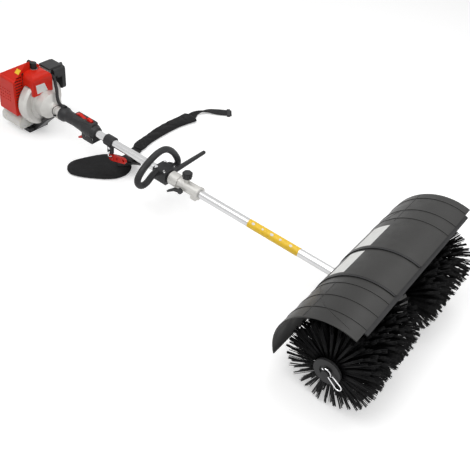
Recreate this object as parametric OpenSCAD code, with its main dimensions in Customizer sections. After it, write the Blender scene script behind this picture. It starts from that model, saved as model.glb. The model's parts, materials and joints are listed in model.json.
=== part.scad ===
// Power brush sweeper: a two-stroke engine, a split shaft tube and a bristle drum under a guard.
// The frame: x runs forward from the stand's foot to the brush, y to the operator's left, z up from
// the floor.

/* [Overall] */
// Diameter over the bristle tips
brush_d = 256; // [236:2:276]
// Distance from the stand's foot to the brush axis
reach = 1408; // [1380:4:1480]
// Outer diameter of the shaft tubes
tube_d = 26; // [24:0.5:28]
// Wall of the shaft tubes
tube_wall = 1.5; // [1:0.1:2.5]
// Diameter of the drive shaft inside the tubes
shaft_d = 8; // [6:0.5:10]

/* [Brush] */
// Length of the drum over both end discs
drum_len = 600; // [540:10:660]
// Space between the two brush halves for the gearbox
drum_split = 84; // [80:2:100]
// Diameter of the core that carries the bristles
core_d = 52; // [44:2:60]
// Diameter of the brush shaft
axle_d = 20; // [16:1:24]
// Diameter of the end discs
disc_d = 74; // [66:2:84]
// Thickness of the end discs
disc_t = 7; // [5:0.5:10]
// Rings of bristle tufts on each half
tuft_rings = 8; // [5:1:9]
// Bristle tufts in one ring
tufts = 27; // [20:1:27]
// Width of one bristle tuft
tuft_w = 7; // [4:0.5:8]

/* [Guard] */
// Room between the bristle tips and the guard
guard_room = 26; // [22:1:34]
// Wall of the guard panels
guard_wall = 3; // [2:0.25:4]
// Angle of the guard's front edge above the horizontal
guard_front_angle = 74; // [66:1:80]
// Angle of the guard's rear edge
guard_rear_angle = 201; // [196:1:206]
// Right end of the guard, measured from the tube
guard_right = 300; // [270:5:320]
// Left end of the guard, measured from the tube
guard_left = 330; // [290:5:350]
// Seam of the right panel, measured from the tube
seam_right = 114; // [96:2:130]
// Seam of the left panel, measured from the tube
seam_left = 18; // [18:2:40]
// Height of the moulded ribs on the side panels
rib_h = 1.2; // [0.8:0.2:3]

/* [Gearbox] */
// Cone distance of the bevel gears
cone_len = 40; // [36:1:42]
// Teeth of the pinion
pinion_teeth = 12; // [12:1:12]
// Teeth of the bevel gear
gear_teeth = 36; // [36:1:36]
// Wall of the gearbox case
case_wall = 6; // [5:0.5:8]

/* [Engine] */
// Diameter of the fan housing
fan_d = 168; // [160:2:176]
// Diameter of the starter cover
starter_d = 134; // [126:2:140]
// Depth of the starter cover behind the fan housing
starter_len = 108; // [100:2:116]
// Length of the clutch housing
clutch_len = 92; // [86:1:98]
// Width of the cooling fins
fin_w = 70; // [62:1:74]
// Wall of the red covers
cover_wall = 2.5; // [2:0.25:3.5]
// Height of the fuel tank
tank_h = 58; // [54:1:62]
// Width of the fuel tank
tank_w = 148; // [136:2:160]
// Thickness of the stand's foot
foot_t = 14; // [10:0.5:18]
// Width of the stand's foot
foot_w = 84; // [70:2:100]
// Depth of the air filter cover
filter_depth = 36; // [32:1:44]

/* [Grip] */
// Bare tube between the clutch housing and the throttle grip
grip_space = 4; // [2:1:12]
// Length of the throttle grip
grip_len = 166; // [160:1:180]
// Diameter of the grip's neck
neck_d = 42; // [40:1:46]
// Width of the trigger
trigger_w = 14; // [10:1:16]

/* [Handle] */
// Place of the loop handle along the tube
handle_x = 608; // [590:2:616]
// Width of the loop over its bar's middle
loop_w = 184; // [170:2:210]
// Height of the loop's middle above the tube axis
loop_h = 74; // [66:1:90]
// Diameter of the loop's bar
loop_bar = 21; // [18:0.5:24]
// Length of the barrier bar
barrier_len = 148; // [120:2:170]
// Diameter of the barrier bar at its root
barrier_d = 17; // [13:0.5:18]

/* [Coupler] */
// Rear end of the shaft coupler
coupler_x = 650; // [648:1:670]
// Length of the shaft coupler
coupler_len = 115; // [108:1:126]
// Diameter of the coupler body
coupler_d = 38; // [36:0.5:44]
// Diameter of the clamp knob
knob_d = 32; // [26:1:36]

/* [Harness] */
// Place of the hanger clamp along the tube
hanger_x = 383; // [372:1:400]
// Width of the hanger clamp
hanger_w = 32; // [26:1:38]
// Length of the hip pad
pad_len = 224; // [200:2:250]
// Width of the hip pad
pad_w = 184; // [160:2:200]
// Thickness of the hip pad
pad_t = 12; // [9:0.5:16]
// Width of the shoulder pad
shoulder_w = 74; // [60:1:84]
// Thickness of the shoulder pad
shoulder_t = 14; // [10:0.5:18]
// Width of the webbing
webbing_w = 40; // [30:1:44]
// Thickness of the webbing
webbing_t = 3; // [2:0.25:4]

/* [Hidden] */

$fn = 48;

// Clearances: a fixed seat, a running fit, room between moving neighbours, and the overrun of cuts
seat = 0.05;
run_fit = 0.05;
gap = 0.4;
over = 1;

// Main lines
brush_r = brush_d / 2;
axis_h = brush_r;
tube_r = tube_d / 2;
tube_in = tube_r - tube_wall;
tube_seat = tube_r + seat;
shaft_r = shaft_d / 2;
brush_x = reach;

// Fan housing, whose front face carries the clutch housing
fan_r = fan_d / 2;
fan_x0 = 24;
fan_x1 = 62;
fan_edge = 8;
seat_block_w = 78;
seat_block_x0 = -14;
seat_block_z_offset = 66;
seat_block_z = axis_h + seat_block_z_offset;

// Clutch housing, a bell that narrows to the tube's clamp
clutch_x0 = fan_x1;
clutch_x1 = fan_x1 + clutch_len;
bell_r = 58;
bell_in = 42;
bell_flange = 6;
bell_depth = 36;
bell_wall = 3;
bell_root = 2;
bell_fillet = 6;
bell_floor = clutch_x0 + bell_depth - bell_wall;
bell_neck_r_offset = 5;
bell_neck_r = tube_r + bell_neck_r_offset;
bell_neck_len = 36;
bell_socket = 46;
bell_screw_r = 5;
bell_ear_len = 32;
bell_ear_in = 3;
bell_ear_w = 22;
bell_ear_h = 9;
drum_r = 35;
drum_wall = 3;
drum_depth = 24;
drum_x0_offset = 6;
drum_x0 = clutch_x0 + drum_x0_offset;
drum_hub_r_offset = 5;
drum_hub_r = shaft_r + drum_hub_r_offset;
drum_hub_len = 14;
drum_room = 4;

// Cylinder with its fins, and the plug on its head
cyl_x = 22;
cyl_r = 19;
fins = 5;
fin_t = 2.4;
fin_pitch = 7.6;
fin_round = 12;
fin_start_share = 0.5;
fin_draw = 14;
fins_drawn = 2;
cyl_base_z = seat_block_z;
cyl_top_z = cyl_base_z + fins * fin_pitch;
port_w = 24;
port_z_offset = 16;
port_z = cyl_base_z + port_z_offset;
port_y_offset = 3;
port_y = fin_w / 2 + port_y_offset;
plug_r = 6;
plug_len = 10;
plug_boss_h = 3;
plug_boss_r_offset = 4;
plug_boss_r = plug_r + plug_boss_r_offset;
plug_body_h = 8;
plug_hex_h = 6;
plug_hex_r_offset = 3;
plug_hex_r = plug_r + plug_hex_r_offset;
plug_tip_h = 18;
plug_tip_r_offset = 2;
plug_tip_r = plug_r - plug_tip_r_offset;
boot_r = 10;
boot_len = 20;
boot_arm = 26;
boot_arm_r = 7;
boot_room = 4;

// Red covers over the cylinder and the muffler
cover_x1_offset = 10;
cover_x1 = fan_x1 + cover_x1_offset;
cover_split = 20;
cover_right_offset = 9;
cover_right = seat_block_w / 2 + cover_right_offset;
cover_left_offset = 6;
cover_left = seat_block_w / 2 - cover_left_offset;
cover_z0_offset = 40;
cover_z0 = axis_h + cover_z0_offset;
cover_top_offset = 112;
cover_top = axis_h + cover_top_offset;
cover_round = 22;
rear_x0 = -62;
rear_y0 = -88;
rear_z0_offset = 42;
rear_z0 = axis_h - rear_z0_offset;
rear_step = -46;
rear_round = 15;
rear_peak_y = -20;
rear_peak_z_offset = 140;
rear_peak_z = axis_h + rear_peak_z_offset;
rear_back_z_offset = 48;
rear_back_z = rear_peak_z - rear_back_z_offset;
rear_left_y = 30;
rear_left_z_offset = 104;
rear_left_z = axis_h + rear_left_z_offset;
rear_mid_z_offset = 74;
rear_mid_z = axis_h + rear_mid_z_offset;
slots = 11;
slot_w = 4.4;
slot_pitch = 10.4;
slot_z0_offset = 8;
slot_z0 = axis_h - slot_z0_offset;
slot_y0 = -80;
slot_y1 = -52;
hole_rows = 4;
hole_cols = 5;
hole_r = 2.6;
hole_pitch = 12;
head_room = 4;
hole_x0 = -50;
hole_z0_offset = 10;
hole_z0 = axis_h + hole_z0_offset;
muffler_room = 5;
muffler_round = 9;
muffler_y1_offset = 4;
muffler_y1 = rear_step - muffler_y1_offset;
muffler_z0_offset = 20;
muffler_z0 = rear_z0 + muffler_z0_offset;
muffler_rise = 8;
exhaust_r = 6;
exhaust_x = cover_split - cover_wall - exhaust_r - gap;
exhaust_z = port_z - port_w / 4;

// Starter cover behind the fan housing
starter_r = starter_d / 2;
starter_x0 = fan_x0 - starter_len;
starter_round = 16;
vents = 14;
vent_w = 5;
vent_r0 = 24;
vent_r1 = 54;
vent_depth = 9;
chamber_r = 38;
chamber_wall = 6;
chamber_lap = 2;
cap_r = 18;
cap_t = 4;
eye_x = -66;
eye_z_offset = 26;
eye_z = axis_h + eye_z_offset;
eye_r = 11;
eye_end_offset = 10;
eye_end = starter_r + eye_end_offset;
pull_w = 54;
pull_r = 8;
pull_stem_r = 5;
pull_stem = 14;

// Fuel tank, saddled round the starter cover
tank_x0 = -80;
tank_x1 = 14;
tank_z0 = foot_t + seat;
tank_round = 26;
tank_edge = 14;
neck_x = -34;
neck_z_offset = 30;
neck_z = tank_z0 + neck_z_offset;
filler_r = 15;
filler_len = 8;
cap_rim_r = 20;
cap_depth = 14;
cap_grips = 16;
cap_grip_r = 1.8;

// Stand: a foot with an arm to the clutch housing and a strut to the fan housing
foot_x0 = -22;
foot_x1 = 22;
arm_t = 8;
arm_w = 40;
arm_x_offset = 32;
arm_x = clutch_x0 + arm_x_offset;
arm_z_offset = 44;
arm_z = axis_h - arm_z_offset;
strut_x = 44;
strut_z_offset = 6;
strut_z = axis_h - fan_r + strut_z_offset;
foot_round = 5;

// Carburettor and air filter on the left
carb_y0 = port_y + seat;
carb_y1_offset = 16;
carb_y1 = carb_y0 + carb_y1_offset;
carb_x0 = 4;
carb_x1 = 42;
carb_z0_offset = 16;
carb_z0 = port_z - carb_z0_offset;
carb_z1_offset = 18;
carb_z1 = port_z + carb_z1_offset;
carb_round = 6;
carb_y = (carb_y0 + carb_y1) / 2;
bulb_r = 5.5;
bulb_rim = 2;
bulb_boss = 6;
bulb_in = 8;
bulb_z = port_z;
bulb_travel = 4;
base_x0 = -14;
base_x1 = 60;
base_z0 = seat_block_z + gap;
base_z1_offset = 102;
base_z1 = axis_h + base_z1_offset;
base_t = 12;
base_y0 = carb_y1 + seat;
base_y1 = base_y0 + base_t;
tongue_x0 = -12;
tongue_x1 = 18;
tongue_z0_offset = 44;
tongue_z0 = axis_h + tongue_z0_offset;
tongue_round = 8;
filter_round = 14;
filter_wall = 2.5;
skirt_round = 4;
skirt_y0_offset = 3;
skirt_y0 = fan_r + skirt_y0_offset;
skirt_z0_offset = 14;
skirt_z0 = axis_h + skirt_z0_offset;
filter_y1 = base_y1 + filter_depth;
lip_len = 29;
lip_t = 6;
lip_x0 = 2;
lip_x1 = 54;
element_t = 18;
element_room = 4.5;
wing_x_offset = 4;
wing_x = cyl_x + wing_x_offset;
wing_boss_r = 12;
wing_boss_h = 4;
wing_stem_r = 4;
wing_stem_in = 12;
wing_lobe_r = 5;
wing_r = 15;
wing_t = 9;
wing_lobes = 3;
choke_x = 2;
choke_z_offset = 50;
choke_z = axis_h + choke_z_offset;
choke_pin_r = 3;
choke_pin_in = 2;
choke_eye_r = 1.5;
choke_r = 6;
choke_len = 30;
choke_t = 5;
choke_w = 8;

// Conduit of the throttle cable, from the carburettor to the grip's rear collar
conduit_r = 5;
conduit_bore = 3.2;
conduit_rib_h = 1;
conduit_sides = 8;
conduit_lead = 2 * conduit_r;
conduit_route = [[58, 46, 210], [68, 45, 203], [75, 42, 194], [82, 38, 187], [92, 32, 182],
    [102, 25, 177], [113, 16, 167], [126, 8, 158], [140, 3, 153], [154, 2, 153]];
conduit_start = conduit_route[0] - [conduit_lead, 0, 0];
conduit_end = conduit_route[len(conduit_route) - 1] + [conduit_lead, 0, 0];
conduit_steps = 5;

// Throttle grip: a turned neck between a rear collar and a front housing
grip_x = clutch_x1 + grip_space;
grip_x1 = grip_x + grip_len;
neck_r = neck_d / 2;
collar_r_offset = 5;
collar_r = neck_r + collar_r_offset;
collar_len = 12;
collar_fall = 14;
waist_x_offset = 60;
waist_x = grip_x + waist_x_offset;
waist_draw = 1;
front_r_offset = 4;
front_r = neck_r + front_r_offset;
front_len = 62;
front_rise = 18;
front_fall = 14;
nose_r_offset = 2;
nose_r = neck_r - nose_r_offset;
front_w = 36;
front_z0_offset = 40;
front_z0 = axis_h - front_z0_offset;
front_x0_offset = 58;
front_x0 = grip_x1 - front_x0_offset;
front_x1_offset = 4;
front_x1 = grip_x1 - front_x1_offset;
front_round = 9;
crest_w = 26;
crest_x0_offset = 62;
crest_x0 = grip_x + crest_x0_offset;
crest_x1_offset = 12;
crest_x1 = grip_x1 - crest_x1_offset;
crest_z_offset = 32;
crest_z = axis_h + crest_z_offset;
crest_round = 5;
trigger_px_offset = 30;
trigger_px = grip_x1 - trigger_px_offset;
trigger_pz_offset = 30;
trigger_pz = axis_h - trigger_pz_offset;
trigger_pin_r = 3;
trigger_pin_y_offset = 2;
trigger_pin_y = front_w / 2 - trigger_pin_y_offset;
trigger_boss_r = 7;
trigger_len = 56;
trigger_drop = 24;
trigger_t = 9;
trigger_bend_share = 0.55;
trigger_fall_share = 0.45;
pocket_x1_offset = 8;
pocket_x1 = front_x1 - pocket_x1_offset;
pocket_z1_offset = 4;
pocket_z1 = axis_h - tube_r - pocket_z1_offset;
lock_w = 12;
lock_x0_offset = 68;
lock_x0 = grip_x + lock_x0_offset;
lock_x1_offset = 112;
lock_x1 = grip_x + lock_x1_offset;
lock_ends = 2;
lock_px_offset = 6;
lock_px = lock_x1 - lock_px_offset;
lock_pz_offset = 5;
lock_pz = crest_z - lock_pz_offset;
lock_pin_r = 2;
lock_pin_y_offset = 2;
lock_pin_y = crest_w / 2 - lock_pin_y_offset;
lock_root_r = 4;
lock_tip_r = 3;
lock_tip_x_offset = 3;
lock_tip_x = lock_x0 + lock_tip_x_offset;
lock_tip_z_offset = 2;
lock_tip_z = crest_z - lock_tip_z_offset;
lock_hump_x_offset = 14;
lock_hump_x = lock_x0 + lock_hump_x_offset;
lock_hump_z_offset = 2;
lock_hump_z = crest_z + lock_hump_z_offset;
lock_floor_offset = 3;
lock_floor = axis_h + tube_r + lock_floor_offset;
switch_x0_offset = 120;
switch_x0 = grip_x + switch_x0_offset;
switch_len = 20;
switch_w = 12;
switch_rise = 8;
switch_travel = 5;
switch_deep = 8;
switch_top_offset = 1;
switch_top = crest_z - switch_top_offset;
switch_ridge = 4;
switch_toe = 3;
screw_r = 3.6;
screw_shank_r = 1.8;
screw_head = 2;
screw_seat_y_offset = 4;
screw_seat_y = front_w / 2 - screw_seat_y_offset;
screw_low = 23;
screw_places = [[grip_x + collar_len / 2, axis_h - screw_low + screw_r],
    [front_x0 + 2 * front_round, axis_h - screw_low], [front_x1 - front_round / 2, axis_h - screw_low]];
conduit_hole = conduit_r + conduit_rib_h + gap;
conduit_boss_wall = 1.2;
conduit_boss = conduit_hole + conduit_boss_wall;

// Hanger clamp with its eye, the steel ring and the quick-release hook
hanger_r_offset = 6;
hanger_r = tube_r + hanger_r_offset;
tab_t = 9;
tab_w = 22;
tab_round = 6;
tab_z0_offset = 48;
tab_z0 = axis_h - tab_z0_offset;
eye_hole_r = 5;
eye_hole_z_offset = 39;
eye_hole_z = axis_h - eye_hole_z_offset;
strap_bolt_r = 3;
strap_bolt_z_offset = 25;
strap_bolt_z = axis_h - strap_bolt_z_offset;
strap_bolt_head = 5.5;
strap_bolt_head_t = 4;
ring_wire = 2.2;
ring_r = 10.8;
ring_z = eye_hole_z - eye_hole_r + 2 * ring_wire + gap - ring_r;
hook_t = 8;
hook_eye = 8;
hook_wall = 4;
hook_len = 56;
hook_rise = 14;
hook_slot_r = 5;
hook_x0_offset = 5;
hook_x0 = hanger_x + hook_x0_offset;
hook_z0 = ring_z - ring_r;

// Hip pad: a leaf shape lying on the floor under the hanger
pad_x = 338;
pad_y = -8;
pad_turn = 52;
pad_ring = 36;
pad_rise_shares = [[0.94, 0], [1.0, 0.3], [0.985, 0.55], [0.93, 0.6], [0.86, 0.74], [0.6, 0.93], [0.3,
    1.0]];
pad_point_share = 0.42;

// Harness webbing on the floor, and the shoulder pad that it runs through
pad_strap_route = [[446, 5, 76], [446, 16, 76], [446, 34, 62], [438, 56, 36], [424, 72, 21], [406, 76, 15],
    [388, 60, 14], [372, 40, 14]];
strap_route = [[446, 5, 86], [446, 16, 86], [441, 40, 80], [422, 70, 60], [400, 94, 38], [378, 114, 19],
    [364, 130, 10], [358.4, 142, 7.4], [355.2, 155, 7]];
tail_route = [[345.2, 461.4, 7], [346, 474, 9.5], [347, 490, 11.5], [350, 508, 10.5], [356, 526, 9],
    [366, 543, 7.5], [380, 558, 5], [398, 574, 3.8], [414, 587, 3.6], [432, 602, 3.6]];
tail_rolls = [0, 20, 70, 120, 160, 178, 180, 180, 180, 180];
tail_width_shares = [1, 0.72, 0.45, 0.38, 0.42, 0.62, 0.88, 1, 1, 1];
tail_thick_shares = [1, 1.3, 1.8, 2, 1.8, 1.4, 1.1, 1, 1, 1];
webbing_steps = 4;
shoulder_route = [[354, 158, 0], [340, 215, 0], [333, 290, 0], [334, 370, 0], [342, 430, 0], [345, 460, 0]];
shoulder_steps = 6;
shoulder_ring = 16;
shoulder_puckers = 7;
pucker_share = 0.06;
end_draw_share = 0.72;
end_slope_share = 3;
near_width_share = 0.64;
side_power_share = 0.7;
crown_power_share = 0.8;
buckle_wall = 3;
buckle_t = 7;
buckle_len = 12;

// Loop handle: hand-placed points of its bar as shares of the loop's half width and height
loop_shares = [[-0.22, 0.16], [-0.46, 0.10], [-0.72, -0.10], [-0.96, -0.12], [-1.13, 0.06], [-1.18, 0.32],
    [-1.04, 0.58], [-0.78, 0.82], [-0.44, 1.02], [-0.10, 1.1], [0.18, 1.02], [0.44, 0.78], [0.64, 0.48],
    [0.78, 0.18], [0.82, -0.04], [0.72, -0.16], [0.56, -0.08], [0.40, 0.08], [0.22, 0.14]];
loop_steps = 3;
loop_sides = 12;
clamp_x0_offset = 15;
clamp_x0 = handle_x - clamp_x0_offset;
clamp_x1_offset = 37;
clamp_x1 = handle_x + clamp_x1_offset;
clamp_w = 54;
clamp_h_offset = 10;
clamp_h = tube_r + clamp_h_offset;
clamp_split = 0.6;
clamp_round = 8;
clamp_bolt_r = 3;
clamp_bolt_head = 5;
clamp_bolt_head_t = 4;
clamp_bolt_y_offset = 7;
clamp_bolt_y = tube_r + clamp_bolt_y_offset;
clamp_bolt_in = 9;
barrier_x_offset = 12;
barrier_x = clamp_x1 - barrier_x_offset;
barrier_tip = 13;
barrier_flange = 2.5;
barrier_flange_r = 10;

// Coupler: a split casting with a knob on top and a latch on the right
coupler_r = coupler_d / 2;
coupler_x1 = coupler_x + coupler_len;
joint_x_offset = 52;
joint_x = coupler_x + joint_x_offset;
joint_gap = 2;
shoulder_r_offset = 3;
shoulder_r = coupler_r + shoulder_r_offset;
shoulder_len = 34;
collar_rim_r_offset = 2;
collar_rim_r = coupler_r + collar_rim_r_offset;
collar_rim_len = 8;
knob_x_offset = 60;
knob_x = coupler_x + knob_x_offset;
boss_r = 9;
boss_z_offset = 12;
boss_z = axis_h + coupler_r + boss_z_offset;
stem_r = 4;
stem_room = 1;
knob_h = 20;
knob_lobes = 7;
knob_lobe_r = 4.5;
knob_core_r_offset = 3;
knob_core_r = knob_d / 2 - knob_core_r_offset;
knob_edge = 2;
slit_w = 2;
slit_x0_offset = 78;
slit_x0 = coupler_x + slit_x0_offset;
ear_w = 9;
ear_h = 11;
ear_x0_offset = 84;
ear_x0 = coupler_x + ear_x0_offset;
ear_x1_offset = 10;
ear_x1 = coupler_x1 - ear_x1_offset;
latch_px_offset = 58;
latch_px = coupler_x + latch_px_offset;
latch_pz_offset = 6;
latch_pz = axis_h - latch_pz_offset;
latch_boss_r = 6;
latch_y0_offset = 4;
latch_y0 = -(coupler_r + latch_y0_offset);
latch_t = 9;
latch_len = 46;
latch_bar = 9;
latch_bend = 6;
latch_drop = 24;
latch_pin_r = 3;
latch_pin_y1_offset = 3;
latch_pin_y1 = -tube_r - latch_pin_y1_offset;
latch_hole_y1 = latch_pin_y1 + stem_room;

// Drive line: square tongue of the lower shaft in the socket of the upper one
tongue_share = 0.72;
tongue = shaft_d * tongue_share;
tongue_len = 22;
socket_r_offset = 3.2;
socket_r = shaft_r + socket_r_offset;
socket_len = 26;
socket_floor = 2;
socket_x1_offset = 12;
socket_x1 = joint_x + socket_x1_offset;
bush_len = 16;
bush_shares = [0.28, 0.62, 0.9];
lower_bush_shares = [0.1, 0.5, 0.9];
shaft_x0 = drum_x0 - drum_depth;

// Bevel gears, with their common apex where the tube axis meets the brush axis
pinion_cone = atan(pinion_teeth / gear_teeth);
gear_cone = 90 - pinion_cone;
tooth_module = 2 * cone_len * sin(pinion_cone) / pinion_teeth;
face_share = 0.45;
tip_share = 0.85;
root_share = 1.15;
tooth_share = 0.40;
flank_share = 0.42;
gear_back = 12;
pinion_back = 4;
gear_hub_r_offset = 7;
gear_hub_r = axle_d / 2 + gear_hub_r_offset;
pinion_hub_r_offset = 2;
pinion_hub_r = shaft_r + pinion_hub_r_offset;

// Gearbox case and its cover
gear_r = cone_len * sin(gear_cone);
cavity_r_offset = 3;
cavity_r = gear_r + cavity_r_offset;
case_r = cavity_r + case_wall;
case_y1_offset = 3;
case_y1 = cone_len * cos(gear_cone) + gear_back + case_y1_offset;
case_y0 = -20;
neck_in_x_offset = 52;
neck_in_x = brush_x - case_r - neck_in_x_offset;
tube_stop_x_offset = 4;
tube_stop_x = brush_x - case_r - tube_stop_x_offset;
case_neck_r_offset = 8;
case_neck_r = tube_r + case_neck_r_offset;
case_collar_r_offset = 3;
case_collar_r = case_neck_r + case_collar_r_offset;
case_collar_len = 10;
hub_len = drum_split / 2 - gap;
hub_r_offset = 6;
hub_r = axle_d / 2 + hub_r_offset;
cover_screws = 6;
cover_screw_r = 2.4;
cover_screw_h = 2;
cover_screw_in = 10;
cover_screw_at = cavity_r + case_wall / 2;

// Brush halves, discs and hitch pins
axle_r = axle_d / 2;
core_r = core_d / 2;
half_y0 = drum_split / 2;
half_y1 = drum_len / 2 - disc_t;
tuft_r = tuft_w / 2;
tuft_lean = 7;
tuft_turn = 137.5;
tuft_sink = 4;
tuft_start_share = 0.5;
disc_recess_r = 20;
disc_recess = 3;
pin_wire = 1.6;
axle_end_offset = 10;
axle_end = drum_len / 2 + axle_end_offset;
pin_y_offset = 4.5;
pin_y = drum_len / 2 + pin_y_offset;
pin_leg = 52;
pin_loop = 9;
pin_turn = 38;
pin_hole = pin_wire + gap / 2;
pin_sides = 8;
pin_steps = 6;
pin_lead = 6;
pin_hug = 2.5;
pin_bow_x = pin_leg - pin_loop;

// Guard panels, each lapping over the next
guard_in = brush_r + guard_room;
guard_step = guard_wall + seat;
guard_lap = 16;
tube_hole_offset = 3;
tube_hole = tube_r + tube_hole_offset;
rib_w = 3;
right_rib_shares = [0.22, 0.48, 0.75];
left_rib_shares = [0.52, 0.68, 0.91];
rail_t = 4;
rail_out_angle = 4;
rail_lap_angle = 6;
rail_right_offset = 37;
rail_right = guard_right - rail_right_offset;
rail_left_offset = 20;
rail_left = guard_left - rail_left_offset;
frame_t = 4;
frame_w = 56;
frame_front_angle = guard_front_angle + rail_lap_angle / 2;
saddle_w = 36;
frame_rear_angle = 142;
guard_bolt_r = 3;
guard_bolt_head = 4.6;
guard_bolt_head_t = 3;
guard_bolt_y = 23.2;
guard_bolt_angles = [100, 128];
guard_bolt_lift = pow(guard_bolt_head, 2) / (2 * (guard_in - frame_t)) + seat;
guard_bolt_start = guard_in + guard_step - frame_t - seat - guard_bolt_lift - guard_bolt_head_t;
guard_bolt_end_share = 0.6;
guard_bolt_end = guard_in + guard_step + guard_wall * guard_bolt_end_share;

// Vectors and paths
function unit(v) = v / norm(v);
function heading(path, i) = unit(path[min(i + 1, len(path) - 1)] - path[max(i - 1, 0)]);
function spline_point(a, b, c, d, t) =
    0.5 * (2 * b + (c - a) * t + (2 * a - 5 * b + 4 * c - d) * t * t + (3 * b - a - 3 * c + d) * t * t * t);
function spline(p, steps) = concat(
    [for (i = [0 : len(p) - 2], s = [0 : steps - 1])
        spline_point(p[max(i - 1, 0)], p[i], p[i + 1], p[min(i + 2, len(p) - 1)], s / steps)],
    [p[len(p) - 1]]);
// A ring of points round a path point: side runs level, rise stands across side and path
function tube_ring(path, i, r, sides, up) =
    let (t = heading(path, i), side = unit(cross(up, t)), rise = cross(t, side))
    [for (k = [0 : sides - 1]) path[i] + r * (cos(360 * k / sides) * side + sin(360 * k / sides) * rise)];
// A flat strip's ring of four points, turned about the path by roll
function strip_ring(path, i, w, t, roll) =
    let (f = heading(path, i), side0 = unit(cross([0, 0, 1], f)), rise0 = cross(f, side0),
        side = cos(roll) * side0 + sin(roll) * rise0, rise = cos(roll) * rise0 - sin(roll) * side0)
    [path[i] + side * w / 2 - rise * t / 2, path[i] + side * w / 2 + rise * t / 2,
        path[i] - side * w / 2 + rise * t / 2, path[i] - side * w / 2 - rise * t / 2];

// A closed skin over rings of equal length, with flat ends
module skin(rings) {
    n = len(rings[0]);
    last = n * (len(rings) - 1);
    sides = [for (i = [0 : len(rings) - 2], k = [0 : n - 1])
        let (a = i * n + k, b = i * n + (k + 1) % n)
        each [[a, a + n, b + n], [a, b + n, b]]];
    ends = [for (k = [1 : n - 2]) each [[0, k, k + 1], [last, last + k + 1, last + k]]];
    polyhedron([for (ring = rings) each ring], concat(sides, ends));
}

// A skin with an outer and an inner wall, open at both ends
module pipe_skin(outer, inner) {
    n = len(outer[0]);
    start = n * len(outer);
    out_last = n * (len(outer) - 1);
    in_last = start + n * (len(inner) - 1);
    out_faces = [for (i = [0 : len(outer) - 2], k = [0 : n - 1])
        let (a = i * n + k, b = i * n + (k + 1) % n)
        each [[a, a + n, b + n], [a, b + n, b]]];
    in_faces = [for (i = [0 : len(inner) - 2], k = [0 : n - 1])
        let (a = start + i * n + k, b = start + i * n + (k + 1) % n)
        each [[a, b + n, a + n], [a, b, b + n]]];
    end_faces = [for (k = [0 : n - 1])
        let (j = (k + 1) % n)
        each [[k, j, start + j], [k, start + j, start + k],
            [out_last + k, in_last + j, out_last + j], [out_last + k, in_last + k, in_last + j]]];
    points = concat([for (ring = outer) each ring], [for (ring = inner) each ring]);
    polyhedron(points, concat(out_faces, in_faces, end_faces));
}

// Bars, blocks and outlines set out between two stations
module bar_x(x0, x1, r, y, z) translate([x0, y, z]) rotate([0, 90, 0]) cylinder(r = r, h = x1 - x0);
module bar_y(y0, y1, r, x, z) translate([x, y1, z]) rotate([90, 0, 0]) cylinder(r = r, h = y1 - y0);
module bar_z(z0, z1, r, x, y) translate([x, y, z0]) cylinder(r = r, h = z1 - z0);
module block(x, y, z) translate([x[0], y[0], z[0]]) cube([x[1] - x[0], y[1] - y[0], z[1] - z[0]]);
module along_x(x0, x1) translate([x0, 0, 0]) rotate([90, 0, 90]) linear_extrude(x1 - x0) children();
module along_y(y0, y1) translate([0, y1, 0]) rotate([90, 0, 0]) linear_extrude(y1 - y0) children();
module turned() translate([0, 0, axis_h]) rotate([0, 90, 0]) rotate_extrude() children();
module about_brush() translate([brush_x, 0, axis_h]) rotate([90, 0, 0]) children();
module round_rect(x, y, r) {
    translate([x[0] + r, y[0]]) square([x[1] - x[0] - 2 * r, y[1] - y[0]]);
    translate([x[0], y[0] + r]) square([x[1] - x[0], y[1] - y[0] - 2 * r]);
    for (cx = [x[0] + r, x[1] - r], cy = [y[0] + r, y[1] - r])
        translate([cx, cy]) circle(r);
}

// Outer shapes that neighbours are cut to
module fan_outline(extra) turned() {
    polygon([[0, fan_x0 - extra], [fan_r - fan_edge, fan_x0 - extra], [fan_r + extra, fan_x0 + fan_edge],
        [fan_r + extra, fan_x1 - fan_edge], [fan_r - fan_edge + extra, fan_x1 + extra], [0,
            fan_x1 + extra]]);
}
module bell_outline(extra) turned() {
    polygon([[0, clutch_x0], [bell_r + extra, clutch_x0], [bell_r + extra, clutch_x0 + bell_flange],
        [bell_in + bell_wall + bell_root + extra, clutch_x0 + bell_flange + bell_root],
        [bell_in + bell_wall + extra, clutch_x0 + bell_depth],
        [bell_neck_r + bell_fillet + extra, clutch_x1 - bell_neck_len - bell_fillet],
        [bell_neck_r + extra, clutch_x1 - bell_neck_len],
        [bell_neck_r + extra, clutch_x1], [0, clutch_x1]]);
}
module starter_outline(extra) turned() {
    polygon([[0, starter_x0], [starter_r - starter_round + extra, starter_x0],
        [starter_r + extra, starter_x0 + starter_round], [starter_r + extra, fan_x0 - seat], [0,
            fan_x0 - seat]]);
}

module fan_housing() color("silver") difference() {
    union() {
        fan_outline(0);
        block([seat_block_x0, fan_x1], [-seat_block_w / 2, seat_block_w / 2], [axis_h, seat_block_z]);
    }
    block([fan_x0 - over, fan_x1 + over], [-fan_r, fan_r], [seat_block_z, axis_h + fan_r + over]);
    bar_x(shaft_x0 - drum_room, fan_x1 + over, bell_in - over, 0, axis_h);
}

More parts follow.
